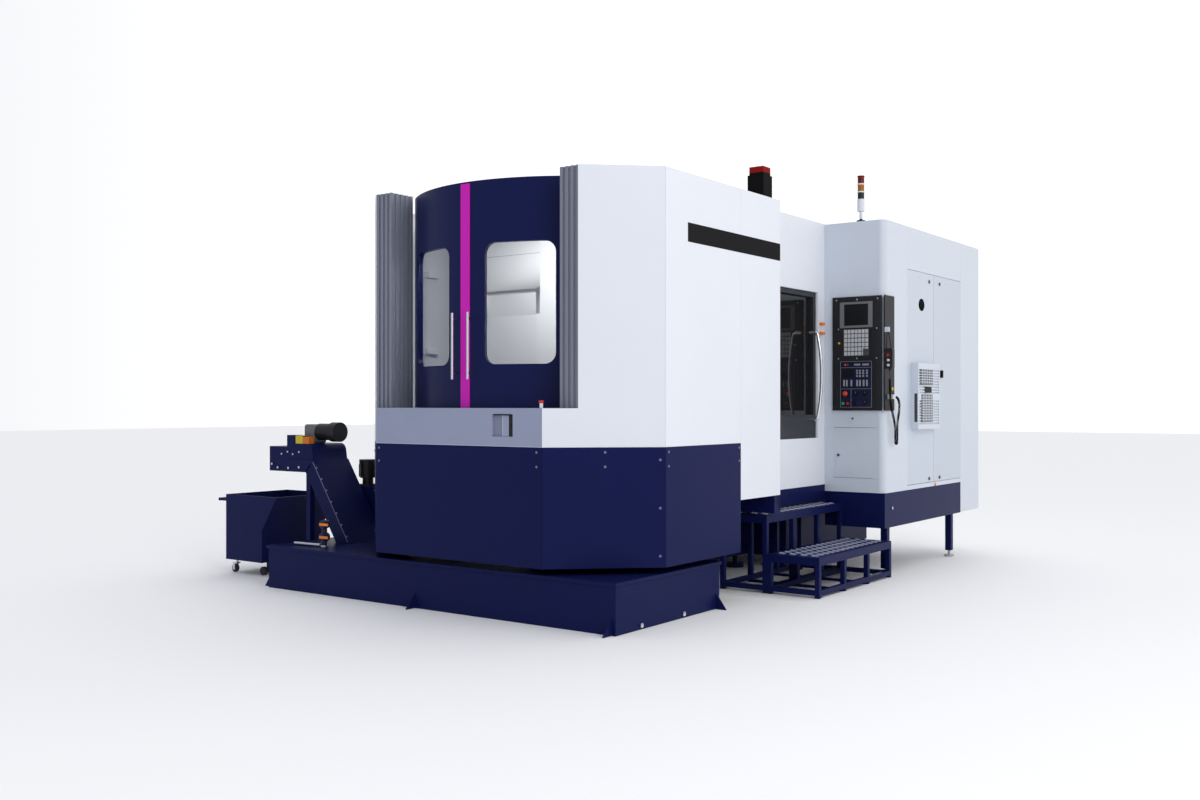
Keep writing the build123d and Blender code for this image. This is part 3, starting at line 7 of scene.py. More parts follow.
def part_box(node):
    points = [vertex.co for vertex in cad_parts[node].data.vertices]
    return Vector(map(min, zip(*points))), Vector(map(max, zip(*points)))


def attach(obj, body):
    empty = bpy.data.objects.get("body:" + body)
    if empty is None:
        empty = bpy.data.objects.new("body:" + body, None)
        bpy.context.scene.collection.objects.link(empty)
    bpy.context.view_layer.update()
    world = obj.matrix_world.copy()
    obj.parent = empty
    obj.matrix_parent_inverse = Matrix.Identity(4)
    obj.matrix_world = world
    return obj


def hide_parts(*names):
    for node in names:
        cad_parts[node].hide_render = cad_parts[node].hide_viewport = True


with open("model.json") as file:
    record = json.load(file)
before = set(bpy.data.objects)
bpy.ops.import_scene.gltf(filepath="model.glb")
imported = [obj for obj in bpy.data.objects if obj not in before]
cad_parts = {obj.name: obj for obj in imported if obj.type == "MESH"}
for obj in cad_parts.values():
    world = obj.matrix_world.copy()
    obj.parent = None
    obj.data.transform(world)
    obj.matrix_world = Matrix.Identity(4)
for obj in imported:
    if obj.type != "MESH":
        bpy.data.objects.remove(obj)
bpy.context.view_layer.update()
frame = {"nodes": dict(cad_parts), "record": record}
node = frame["nodes"]
record = frame["record"]

# Bed, pedestal floor and welded frame: cast iron and steel beams under one coat of navy enamel.
# The castings are bolted together on the floor, and the sheet panels are screwed to the beams.
body_of_node = {name: body for body, names in record["behaviour"]["bodies"].items() for name in names}
casting_edge = 0.005
navy_colour = (0.0056, 0.0092, 0.064, 1)


def paint_film():
    """Group for sprayed paint: slow drifts of tone, a change of gloss and a fine orange-peel skin."""
    group = bpy.data.node_groups.new("paint_film", "ShaderNodeTree")
    socket = group.interface.new_socket
    socket("Paint", in_out="INPUT", socket_type="NodeSocketColor")
    socket("Drift", in_out="INPUT", socket_type="NodeSocketFloat")
    socket("Gloss", in_out="INPUT", socket_type="NodeSocketFloat")
    socket("Colour", in_out="OUTPUT", socket_type="NodeSocketColor")
    socket("Roughness", in_out="OUTPUT", socket_type="NodeSocketFloat")
    socket("Height", in_out="OUTPUT", socket_type="NodeSocketFloat")
    new = group.nodes.new
    link = group.links.new
    inputs = new("NodeGroupInput")
    outputs = new("NodeGroupOutput")
    place = new("ShaderNodeTexCoord")
    cloud = new("ShaderNodeTexNoise")
    cloud.inputs["Scale"].default_value = 1.7
    cloud.inputs["Detail"].default_value = 5
    link(place.outputs["Object"], cloud.inputs["Vector"])
    peel = new("ShaderNodeTexNoise")
    peel.inputs["Scale"].default_value = 260
    peel.inputs["Detail"].default_value = 2
    link(place.outputs["Object"], peel.inputs["Vector"])
    centred = new("ShaderNodeMath")
    centred.operation = "SUBTRACT"
    centred.inputs[1].default_value = 0.5
    link(cloud.outputs["Fac"], centred.inputs[0])
    drift = new("ShaderNodeMath")
    drift.operation = "MULTIPLY_ADD"
    drift.inputs[2].default_value = 1
    link(centred.outputs[0], drift.inputs[0])
    link(inputs.outputs["Drift"], drift.inputs[1])
    tone = new("ShaderNodeVectorMath")
    tone.operation = "SCALE"
    link(inputs.outputs["Paint"], tone.inputs[0])
    link(drift.outputs[0], tone.inputs["Scale"])
    link(tone.outputs[0], outputs.inputs["Colour"])
    rough = new("ShaderNodeMath")
    rough.operation = "MULTIPLY_ADD"
    rough.inputs[1].default_value = 0.16
    link(centred.outputs[0], rough.inputs[0])
    link(inputs.outputs["Gloss"], rough.inputs[2])
    link(rough.outputs[0], outputs.inputs["Roughness"])
    link(peel.outputs["Fac"], outputs.inputs["Height"])
    return group


film = paint_film()


def painted(name, colour, rough=0.38, drift=0.18, shine=0.25, metal=0, peel=0.04):
    """Sprayed enamel, or with metal set to 1 a bare worked metal."""
    material = bpy.data.materials.new(name)
    material.use_nodes = True
    tree = material.node_tree
    shader = tree.nodes["Principled BSDF"]
    shader.inputs["Specular IOR Level"].default_value = shine
    shader.inputs["Metallic"].default_value = metal
    layer = tree.nodes.new("ShaderNodeGroup")
    layer.node_tree = film
    layer.inputs["Paint"].default_value = colour
    layer.inputs["Drift"].default_value = drift
    layer.inputs["Gloss"].default_value = rough
    tree.links.new(layer.outputs["Colour"], shader.inputs["Base Color"])
    tree.links.new(layer.outputs["Roughness"], shader.inputs["Roughness"])
    bump = tree.nodes.new("ShaderNodeBump")
    bump.inputs["Strength"].default_value = peel
    bump.inputs["Distance"].default_value = 0.001
    tree.links.new(layer.outputs["Height"], bump.inputs["Height"])
    tree.links.new(bump.outputs["Normal"], shader.inputs["Normal"])
    return material


def settle(piece, body, material):
    """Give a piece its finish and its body."""
    piece.data.materials.clear()
    piece.data.materials.append(material)
    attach(piece, body)
    return piece


def choose(piece):
    """Make one object the only chosen and active one."""
    bpy.ops.object.select_all(action="DESELECT")
    piece.select_set(True)
    bpy.context.view_layer.objects.active = piece


def ease(piece, edge, segments=2, angle=40):
    """Round a piece's sharp corners and shade it smooth between them."""
    choose(piece)
    if edge:
        bevel = piece.modifiers.new("eased_edge", "BEVEL")
        bevel.width = edge
        bevel.segments = segments
        bevel.limit_method = "ANGLE"
        bevel.angle_limit = radians(angle)
        bpy.ops.object.modifier_apply(modifier="eased_edge")
    bpy.ops.object.shade_smooth_by_angle(angle=radians(35))
    flat = piece.modifiers.new("flat_faces", "WEIGHTED_NORMAL")
    flat.keep_sharp = True
    bpy.ops.object.modifier_apply(modifier="flat_faces")


def dressed(name, edge, material):
    """A CAD piece with its corners eased: a welded copy of its mesh that stands for it."""
    piece = bpy.data.objects.new(f"{name}_skin", node[name].data.copy())
    bpy.context.collection.objects.link(piece)
    choose(piece)
    bpy.ops.object.mode_set(mode="EDIT")
    bpy.ops.mesh.select_all(action="SELECT")
    bpy.ops.mesh.remove_doubles(threshold=0.00002)
    if edge:
        bpy.ops.mesh.dissolve_limited(angle_limit=radians(0.4))
    bpy.ops.object.mode_set(mode="OBJECT")
    ease(piece, edge)
    settle(piece, body_of_node[name], material)
    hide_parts(name)
    return piece


navy_enamel = painted("navy_enamel", navy_colour, shine=0.07)
for name in ("bed_casting", "changer_base"):
    dressed(name, casting_edge, navy_enamel)
dressed("base_frame", 0, navy_enamel)

# Column, spindle head, saddle and table: scraped and painted iron castings on the bed's rails.
# The spindle, the table top, the ram and the pallets are ground steel and stay bare.
inner_grey = painted("inner_grey", (0.34, 0.35, 0.36, 1), rough=0.5)
ground_steel = painted("ground_steel", (0.46, 0.47, 0.49, 1), rough=0.27, drift=0.3, shine=0.5, metal=1)
for name in ("column", "spindle_head", "table_saddle", "pallet_arm"):
    dressed(name, 0.003, inner_grey)
for name in ("spindle", "rotary_table", "changer_ram", "pallets"):
    dressed(name, 0.0012, ground_steel)

# Tool magazine: a cast disc of tool pockets on an axle through its stand, in dark grey enamel.
# The disc turns to bring the next tool forward.
magazine_grey = painted("magazine_grey", (0.075, 0.078, 0.085, 1), rough=0.5)
dressed("tool_magazine", 0, magazine_grey)

# Column motor: a black servo motor stood on the column's roof flange, with a red plug cap on top.
# Its housing is an aluminium casting, sprayed matt black and bolted down by its flange.


def box_zone():
    """Group for a box in object coordinates: its mask is 1 inside and 0 outside."""
    group = bpy.data.node_groups.new("box_zone", "ShaderNodeTree")
    socket = group.interface.new_socket
    socket("Centre", in_out="INPUT", socket_type="NodeSocketVector")
    socket("Half", in_out="INPUT", socket_type="NodeSocketVector")
    socket("Mask", in_out="OUTPUT", socket_type="NodeSocketFloat")
    new = group.nodes.new
    link = group.links.new
    inputs = new("NodeGroupInput")
    outputs = new("NodeGroupOutput")
    place = new("ShaderNodeTexCoord")
    offset = new("ShaderNodeVectorMath")
    offset.operation = "SUBTRACT"
    link(place.outputs["Object"], offset.inputs[0])
    link(inputs.outputs["Centre"], offset.inputs[1])
    reach = new("ShaderNodeVectorMath")
    reach.operation = "ABSOLUTE"
    link(offset.outputs[0], reach.inputs[0])
    past = new("ShaderNodeVectorMath")
    past.operation = "SUBTRACT"
    link(reach.outputs[0], past.inputs[0])
    link(inputs.outputs["Half"], past.inputs[1])
    axes = new("ShaderNodeSeparateXYZ")
    link(past.outputs[0], axes.inputs[0])
    wide = new("ShaderNodeMath")
    wide.operation = "MAXIMUM"
    link(axes.outputs[0], wide.inputs[0])
    link(axes.outputs[1], wide.inputs[1])
    most = new("ShaderNodeMath")
    most.operation = "MAXIMUM"
    link(wide.outputs[0], most.inputs[0])
    link(axes.outputs[2], most.inputs[1])
    inside = new("ShaderNodeMath")
    inside.operation = "LESS_THAN"
    inside.inputs[1].default_value = 0
    link(most.outputs[0], inside.inputs[0])
    link(inside.outputs[0], outputs.inputs["Mask"])
    return group


zone_group = box_zone()


def tint(material, low, high, colour):
    """Recolour what lies in a box of a painted piece."""
    tree = material.node_tree
    paint = tree.nodes["Principled BSDF"].inputs["Base Color"]
    zone = tree.nodes.new("ShaderNodeGroup")
    zone.node_tree = zone_group
    zone.inputs["Centre"].default_value = [(a + b) / 2 for a, b in zip(low, high)]
    zone.inputs["Half"].default_value = [(b - a) / 2 for a, b in zip(low, high)]
    mix = tree.nodes.new("ShaderNodeMix")
    mix.data_type = "RGBA"
    tree.links.new(zone.outputs["Mask"], mix.inputs["Factor"])
    tree.links.new(paint.links[0].from_socket, mix.inputs[6])
    mix.inputs[7].default_value = colour
    tree.links.new(mix.outputs[2], paint)


motor_low, motor_high = (Vector(corner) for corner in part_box("column_motor"))
motor_cap_height = 0.055
motor_coat = painted("motor_black", (0.006, 0.006, 0.007, 1), rough=0.6, shine=0.05)
motor_cap_low = (motor_low.x, motor_low.y, motor_high.z - motor_cap_height)
motor_cap_red = (0.27, 0.010, 0.008, 1)
tint(motor_coat, motor_cap_low, motor_high * 1.01, motor_cap_red)
dressed("column_motor", 0.006, motor_coat)

# Skirt of the loading station: five folded steel sheets in navy enamel, hung on the station's frame.
# Socket screws with round heads hold them near their upper corners and down the right-hand seam.
sheet_edge = 0.003
dressed("skirt_panels", sheet_edge, navy_enamel)
screw_navy = painted("screw_navy", (0.15, 0.165, 0.26, 1), rough=0.34, shine=0.4)
front_plane = -0.12
side_plane = 1.422
chamfer_facing = (0.6756, -0.7373, 0)
chamfer_start = Vector((0.8, -0.12, 0))
chamfer_run = Vector((0.622, 0.57, 0))
upper_rows = (1.176, 1.078)
sheet_screw = (0.009, 0.005)
to_front = (0, -1, 0)
to_right = (1, 0, 0)


def pick_faces(piece, wanted):
    """Open a piece for editing with only the wanted faces chosen."""
    choose(piece)
    bpy.ops.object.mode_set(mode="EDIT")
    bpy.ops.mesh.select_mode(type="FACE")
    bpy.ops.mesh.select_all(action="DESELECT")
    bpy.ops.object.mode_set(mode="OBJECT")
    for face in piece.data.polygons:
        face.select = wanted(face)
    bpy.ops.object.mode_set(mode="EDIT")


def screw(radius, height):
    """Round screw head at the origin, facing up, with a socket sunk in it."""
    bpy.ops.object.select_all(action="DESELECT")
    bpy.ops.mesh.primitive_cylinder_add(vertices=16, radius=radius, depth=height, location=(0, 0, height / 2))
    head = bpy.context.object
    bpy.ops.object.transform_apply(location=True, rotation=True, scale=True)
    pick_faces(head, lambda face: face.normal.z > 0.9)
    bpy.ops.mesh.inset(thickness=radius * 0.5)
    bpy.ops.transform.translate(value=(0, 0, -height * 0.5))
    bpy.ops.object.mode_set(mode="OBJECT")
    ease(head, radius * 0.16)
    return head


def copied(model, name, facing, places):
    """Copies of one model set at places and turned to face one way, as one piece."""
    turn = Vector((0, 0, 1)).rotation_difference(Vector(facing)).to_matrix().to_4x4()
    made = []
    for place in places:
        copy = bpy.data.objects.new(name, model.data.copy())
        copy.data.transform(Matrix.Translation(place) @ turn)
        bpy.context.collection.objects.link(copy)
        made.append(copy)
    bpy.data.objects.remove(model)
    choose(made[0])
    for copy in made:
        copy.select_set(True)
    bpy.ops.object.join()
    return made[0]


front_places = [(x, front_plane, z) for x in (-0.765, 0.757) for z in upper_rows]
front_row = copied(screw(*sheet_screw), "skirt_screws_front", to_front, front_places)
settle(front_row, "machine", screw_navy)
for side in (-1, 1):
    places = []
    for share, height in ((0.508, 1.176), (0.508, 1.078), (0.955, 1.123), (0.955, 0.796), (0.955, 0.47)):
        place = chamfer_start + chamfer_run * share
        places.append((side * place.x, place.y, height))
    facing = (side * chamfer_facing[0], chamfer_facing[1], 0)
    name = "right" if side > 0 else "left"
    row = copied(screw(*sheet_screw), f"skirt_screws_{name}_chamfer", facing, places)
    settle(row, "machine", screw_navy)
    places = [(side * side_plane, y, z) for y in (0.485, 1.455) for z in upper_rows]
    row = copied(screw(*sheet_screw), f"skirt_screws_{name}_side", (side, 0, 0), places)
    settle(row, "machine", screw_navy)

# Coolant tank: welded steel plate in navy enamel with an overhanging lid and gussets along its foot.
# It stands on the floor under the station, and two bright drain plugs are screwed into its right end.
dressed("coolant_tank", sheet_edge, navy_enamel)
plug_steel = painted("plug_steel", (0.6, 0.61, 0.62, 1), rough=0.3, shine=0.5, metal=1)
tank_end = 1.375
plug_height = 0.03
plug_places = [(tank_end, y, plug_height) for y in (0.219, 0.75)]
plugs = copied(screw(0.017, 0.012), "tank_drain_plugs", to_right, plug_places)
settle(plugs, "machine", plug_steel)

# Front band and ledge: folded sheet in the shell's white enamel, coloured a darker cool grey as painted shade
# on the front face, screwed over the skirt.
# The hatch in it covers the service connections: a light plate with a black turn knob, hinged at its top.
# The band's grey is the shell white darkened as painted shade for the front face turned from the light.
band_painted_shade = painted("band_painted_shade", (0.30, 0.33, 0.45, 1), rough=0.4)
tint(band_painted_shade, (0.440, -0.112, 1.279), (0.543, -0.100, 1.428), (0.66, 0.69, 0.78, 1))
# The hatch plate's left fold is painted darker as painted shade.
tint(band_painted_shade, (0.359, -0.112, 1.279), (0.440, -0.100, 1.428), (0.21, 0.23, 0.32, 1))
tint(band_painted_shade, (0.505, -0.122, 1.279), (0.540, -0.1125, 1.428), (0.012, 0.012, 0.014, 1))
tint(band_painted_shade, (0.748, -0.102, 1.4755), (0.784, -0.062, 1.52), (0.72, 0.74, 0.80, 1))
dressed("front_band", sheet_edge, band_painted_shade)


def block(name, low, high, edge):
    """Box between two corners with its edges rounded."""
    size = Vector(high) - Vector(low)
    bpy.ops.object.select_all(action="DESELECT")
    bpy.ops.mesh.primitive_cube_add(size=1, location=(Vector(low) + Vector(high)) / 2, scale=size)
    piece = bpy.context.object
    piece.name = name
    bpy.ops.object.transform_apply(location=True, rotation=True, scale=True)
    ease(piece, edge)
    return piece


black_plastic = painted("black_plastic", (0.010, 0.010, 0.012, 1), rough=0.5, drift=0.3, shine=0.1)
hatch_hinge = block("hatch_hinge", (0.372, -0.1225, 1.424), (0.536, -0.105, 1.433), 0.0012)
settle(hatch_hinge, "machine", black_plastic)
hatch_places = [(0.47, -0.106, z) for z in (1.40, 1.305)]
hatch_screws = copied(screw(0.006, 0.004), "hatch_screws", to_front, hatch_places)
settle(hatch_screws, "machine", plug_steel)
# A thin light strip along the band's lower edge is a painted highlight on its rounded edge.
band_highlight_grey = painted("band_highlight_grey", (0.46, 0.49, 0.60, 1), rough=0.4)
edge_highlight_strip = block("band_drip_edge", (-0.798, -0.1215, 1.2095), (0.798, -0.116, 1.2145), 0.001)
settle(edge_highlight_strip, "machine", band_highlight_grey)
red_plastic = painted("red_plastic", (0.55, 0.016, 0.012, 1), rough=0.3, shine=0.5)


def round_bar(name, start, end, radius, edge, sides=24):
    """Round bar between two points with eased ends."""
    run = Vector(end) - Vector(start)
    turn = run.to_track_quat("Z", "Y").to_euler()
    middle = (Vector(start) + Vector(end)) / 2
    bpy.ops.object.select_all(action="DESELECT")
    bpy.ops.mesh.primitive_cylinder_add(vertices=sides, radius=radius, depth=run.length,
                                        location=middle, rotation=turn)
    piece = bpy.context.object
    piece.name = name
    bpy.ops.object.transform_apply(location=True, rotation=True, scale=True)
    ease(piece, edge, 3)
    return piece


button_cap = round_bar("ledge_button_cap", (0.766, -0.0824, 1.507), (0.766, -0.0824, 1.528), 0.019, 0.009)
settle(button_cap, "machine", red_plastic)

# White shell: folded steel sheets with a satin white enamel, hung on the frame round both working areas.
# A dark plate runs along the upper right side, and two brackets stand inside the bay's left wall.
shell_white = painted("shell_white", (0.73, 0.755, 0.81, 1), rough=0.42, drift=0.06, shine=0.25)
for name in ("shell_panels", "enclosure_walls"):
    dressed(name, sheet_edge, shell_white)
plate_black = painted("side_plate_black", (0.009, 0.009, 0.011, 1), rough=0.6, shine=0.05)
side_plate_low = (side_plane - 0.001, 0.734, 2.638)
side_plate_high = (side_plane + 0.0015, 2.116, 2.773)
side_plate = block("side_plate", side_plate_low, side_plate_high, 0.0006)
settle(side_plate, "machine", plate_black)
bracket_size = Vector((0.06, 0.15, 0.05))
bracket_places = ((-1.41, 0.98, 2.585), (-1.41, 0.98, 1.93))
for number, place in enumerate(bracket_places):
    bracket = block(f"bay_bracket_{number}", place, Vector(place) + bracket_size, 0.004)
    settle(bracket, "machine", shell_white)

# Service panels: thin white sheets screwed over openings in the rear and left walls.
# One of them has a louvred vent low in its face, its openings drawn as dark strips of painted shade.
wall_rear, wall_left = 5.18, -1.167
panel_low, panel_high = 1.0, 2.6
panel_sink, panel_proud, panel_edge = 0.0005, 0.003, 0.0012
screw_inset = 0.04
screw_levels = (panel_low + screw_inset, 1.8, panel_high - screw_inset)
vent_low, vent_pitch, vent_opening = 1.14, 0.04, 0.016
vent_shade_dark = painted("vent_shade_dark", (0.10, 0.105, 0.115, 1), rough=0.5)
for number, (start, end) in enumerate(((-1.02, -0.06), (0.06, 1.02))):
    low = (start, wall_rear - panel_sink, panel_low)
    high = (end, wall_rear + panel_proud, panel_high)
    cover = block(f"rear_cover_{number}", low, high, panel_edge)
    settle(cover, "machine", shell_white)
    sides = (start + screw_inset, end - screw_inset)
    places = [(x, wall_rear + panel_proud, z) for x in sides for z in screw_levels]
    heads = copied(screw(*sheet_screw), f"rear_cover_screws_{number}", (0, 1, 0), places)
    settle(heads, "machine", plug_steel)
for number, (start, end) in enumerate(((2.25, 3.15), (3.25, 4.15), (4.25, 5.05))):
    low = (wall_left - panel_proud, start, panel_low)
    high = (wall_left + panel_sink, end, panel_high)
    cover = block(f"left_cover_{number}", low, high, panel_edge)
    settle(cover, "machine", shell_white)
    sides = (start + screw_inset, end - screw_inset)
    places = [(wall_left - panel_proud, y, z) for y in sides for z in screw_levels]
    heads = copied(screw(*sheet_screw), f"left_cover_screws_{number}", (-1, 0, 0), places)
    settle(heads, "machine", plug_steel)
# The vent's dark strips are painted shade standing for the dark inside of its openings.
for number in range(9):
    height = vent_low + vent_pitch * number
    low = (wall_left - 0.006, 3.50, height)
    high = (wall_left - 0.002, 3.90, height + vent_opening)
    vent_slot = block(f"left_vent_{number}", low, high, 0.0015)
    settle(vent_slot, "machine", vent_shade_dark)

# Door posts and tracks: extruded aluminium with deep ribs, anodised grey, bolted up from the band.
# The tracks are rolled steel strips, left bare.
post_grey = painted("post_grey", (0.20, 0.215, 0.265, 1), rough=0.34, shine=0.4)
dressed("door_posts", 0.0012, post_grey)
dressed("door_tracks", 0.001, ground_steel)

# Curved sliding doors: rolled steel sheet in navy enamel on the arc track, each with a clear pane,
# a bright bar handle on stand-offs, and the coloured strip that covers the meeting edge.
door_navy = painted("door_navy", navy_colour, rough=0.34, shine=0.12, peel=0.02)
handle_steel = painted("handle_steel", (0.78, 0.79, 0.80, 1), rough=0.22, drift=0.1, shine=0.5, metal=1)
strip_magenta = painted("strip_magenta", (0.61, 0.007, 0.45, 1), rough=0.36)
clear_pane = bpy.data.materials.new("clear_pane")
clear_pane.use_nodes = True
pane_shader = clear_pane.node_tree.nodes["Principled BSDF"]
pane_shader.inputs["Base Color"].default_value = (0.97, 0.98, 0.98, 1)
pane_shader.inputs["Transmission Weight"].default_value = 1
pane_shader.inputs["Roughness"].default_value = 0.01
pane_shader.inputs["IOR"].default_value = 1.12
for side in ("left", "right"):
    dressed(f"front_door_{side}", 0.0025, door_navy)
    dressed(f"{side}_door_glass", 0, clear_pane)
    dressed(f"{side}_door_handle", 0.002, handle_steel)
dressed("meeting_strip", 0.0015, strip_magenta)

# Pallet partition: a folded white sheet wall across the changer that keeps chips out of the loading bay.
# Each face has a sunk field beside a flat panel, an upright at the middle and a joint under its top rail.
partition_front = 1.188
turn_y = 1.248
partition_white = painted("partition_white", (0.82, 0.83, 0.84, 1), rough=0.42, drift=0.05, shine=0.3)
seam_grey = painted("seam_grey", (0.24, 0.25, 0.27, 1), rough=0.5)
partition = dressed("pallet_partition", 0.002, partition_white)
field_cut = ((-0.88, -0.01), (-0.318, 0.05), 2.2, 2.448)
partition_pieces = (
    ("panel", (-0.318, -0.0005), (0.949, 0.0495), 1.353, 2.2395, partition_white),
    ("upright", (-0.262, -0.018), (-0.10, 0.001), 1.28, 2.88, partition_white),
    ("joint", (-1.0, -0.001), (-0.262, 0.002), 2.7355, 2.7385, seam_grey))


def partition_corners(side, start, end, z_low, z_high):
    """Corners of a box on one face, from places across that face and depths into it."""
    thickness = turn_y - partition_front
    places = [(side * -x, turn_y + side * (thickness - deep)) for x, deep in (start, end)]
    low = [min(place[axis] for place in places) for axis in (0, 1)] + [z_low]
    high = [max(place[axis] for place in places) for axis in (0, 1)] + [z_high]
    return low, high


for side in (-1, 1):
    name = "front" if side < 0 else "rear"
    cutter = block("field_cutter", *partition_corners(side, *field_cut), 0)
    cut = partition.modifiers.new("sunk_field", "BOOLEAN")
    cut.object = cutter
    choose(partition)
    bpy.ops.object.modifier_apply(modifier="sunk_field")
    bpy.data.objects.remove(cutter)
    for label, start, end, z_low, z_high, finish in partition_pieces:
        low, high = partition_corners(side, start, end, z_low, z_high)
        settle(block(f"partition_{label}_{name}", low, high, 0.0008), "changer", finish)

# Operator door: a dark steel frame on a slide along the wall, with a smoked pane and a bowed steel pull.
# The pull's two feet are bolted to black bosses on the frame.
door_dark = painted("door_dark", (0.020, 0.021, 0.026, 1), rough=0.36, shine=0.4)
dressed("operator_door", 0.002, door_dark)
dressed("operator_door_handle", 0.001, handle_steel)
smoked_pane = bpy.data.materials.new("smoked_pane")
smoked_pane.use_nodes = True
smoke_shader = smoked_pane.node_tree.nodes["Principled BSDF"]
smoke_shader.inputs["Base Color"].default_value = (0.015, 0.015, 0.017, 1)
smoke_shader.inputs["Transmission Weight"].default_value = 0.25
smoke_shader.inputs["Roughness"].default_value = 0.05
smoke_shader.inputs["Specular IOR Level"].default_value = 0.6
dressed("operator_door_glass", 0, smoked_pane)
orange_plastic = painted("orange_plastic", (0.80, 0.20, 0.01, 1), rough=0.34, shine=0.5)
for number, height in enumerate((2.205, 2.122)):
    gland = block(f"door_switch_{number}", (1.165, 3.352, height), (1.196, 3.424, height + 0.024), 0.005)
    settle(gland, "machine", orange_plastic)

# Step platform: a folded navy plate frame with two treads, and raised teeth round each drain hole for grip.
# The teeth are pressed up from the plate and worn bright.
dressed("step_platform", 0.0025, navy_enamel)
tread_steel = painted("tread_bright", (0.34, 0.36, 0.48, 1), rough=0.34, drift=0.6, shine=0.4, metal=0.5)
tooth_pitch = 0.095
ring_radius, ring_foot = 0.034, 0.002
ring_slope, ring_rise = 0.013, 0.006
ring_rim, ring_drop = 0.004, 0.0075
tread_front = 2.045
tread_back = 3.4694


def tooth_ring():
    """Ring of plate pressed up round a drain hole: an eight-sided crown with a sunk middle."""
    bpy.ops.object.select_all(action="DESELECT")
    bpy.ops.mesh.primitive_cylinder_add(vertices=8, radius=ring_radius, depth=ring_foot,
                                        location=(0, 0, ring_foot / 2))
    ring = bpy.context.object
    bpy.ops.object.transform_apply(location=True, rotation=True, scale=True)
    pick_faces(ring, lambda face: face.normal.z > 0.9)
    bpy.ops.mesh.inset(thickness=ring_slope)
    bpy.ops.transform.translate(value=(0, 0, ring_rise))
    bpy.ops.mesh.inset(thickness=ring_rim)
    bpy.ops.transform.translate(value=(0, 0, -ring_drop))
    bpy.ops.object.mode_set(mode="OBJECT")
    return ring


for name, left, right, top in (("upper", 0.912, 1.3404, 0.62), ("lower", 1.341, 1.795, 0.315)):
    columns = int((right - left - tooth_pitch) // tooth_pitch) + 1
    rows = int((tread_back - tread_front - tooth_pitch) // tooth_pitch) + 1
    places = []
    for column in range(columns):
        for row in range(rows):
            x = (left + right) / 2 + (column - (columns - 1) / 2) * tooth_pitch
            y = (tread_front + tread_back) / 2 + (row - (rows - 1) / 2) * tooth_pitch
            places.append((x, y, top - 0.0005))
    teeth = copied(tooth_ring(), f"{name}_tread_teeth", (0, 0, 1), places)
    settle(teeth, "machine", tread_steel)

# Electrical cabinet: a white sheet housing with a rounded front corner on a navy base, two hinged doors,
# and steel levelling feet under its outer legs.
cabinet_white = painted("cabinet_white", (0.60, 0.65, 0.72, 1), rough=0.36, drift=0.06, shine=0.4)
dressed("cabinet_shell", 0.002, cabinet_white)
base_navy = painted("base_navy", navy_colour, shine=0.07)
for leg_y in (3.56, 5.166):
    tint(base_navy, (1.64, leg_y - 0.06, -0.01), (1.76, leg_y + 0.06, 0.061), (0.42, 0.43, 0.45, 1))
dressed("cabinet_base", 0.003, base_navy)
# The door leaves are darker copies of the cabinet white as painted shade on the cabinet's side, the rear leaf
# darkest.
rear_leaf_shaded_white = painted("rear_leaf_shaded_white", (0.53, 0.58, 0.66, 1), rough=0.36, drift=0.06, shine=0.4)
dressed("cabinet_door_rear", 0.002, rear_leaf_shaded_white)
front_leaf_shaded_white = painted("front_leaf_shaded_white", (0.55, 0.60, 0.68, 1), rough=0.36, drift=0.06, shine=0.4)
tint(front_leaf_shaded_white, (1.7, 4.258, 2.36), (1.733, 4.422, 2.49), (0.010, 0.010, 0.012, 1))
dressed("cabinet_door_front", 0.002, front_leaf_shaded_white)
dressed("control_electrics", 0, inner_grey)
pull_black = painted("pull_black", (0.004, 0.004, 0.005, 1), rough=0.7, shine=0.03)
pull = round_bar("cabinet_pull_cup", (1.7225, 4.34, 2.425), (1.7355, 4.34, 2.425), 0.056, 0.004)
settle(pull, "cabinet_front_leaf", pull_black)
lock_black = painted("lock_black", (0.03, 0.03, 0.034, 1), rough=0.4, shine=0.5)
cabinet_face = 1.735
for leaf, body, edge_y in (("front", "cabinet_front_leaf", 4.528), ("rear", "cabinet_rear_leaf", 4.80)):
    places = [(cabinet_face, edge_y, 2.655), (cabinet_face, edge_y, 0.80)]
    locks = copied(screw(0.016, 0.008), f"cabinet_locks_{leaf}", to_right, places)
    settle(locks, body, lock_black)
base_screw = copied(screw(0.014, 0.008), "cabinet_base_screw", to_right, [(cabinet_face, 3.631, 0.586)])
settle(base_screw, "machine", plug_steel)
seal_plug = copied(screw(0.014, 0.008), "cabinet_seal_plug", to_right, [(cabinet_face, 4.685, 0.738)])
settle(seal_plug, "machine", orange_plastic)

# Cooling unit: a white pressed-steel cover with louvred fields, bolted over a cut-out in the front leaf; dark
# plates behind its white grille bars are painted shade in the louvre openings. A small dark display is let
# into its face, and its side vent slot is a dark strip of painted shade.
cooler_face = 1.805
cooler_white = painted("cooler_white", (0.60, 0.65, 0.72, 1), rough=0.36, drift=0.06, shine=0.4)
dressed("cooling_unit", 0, cooler_white)
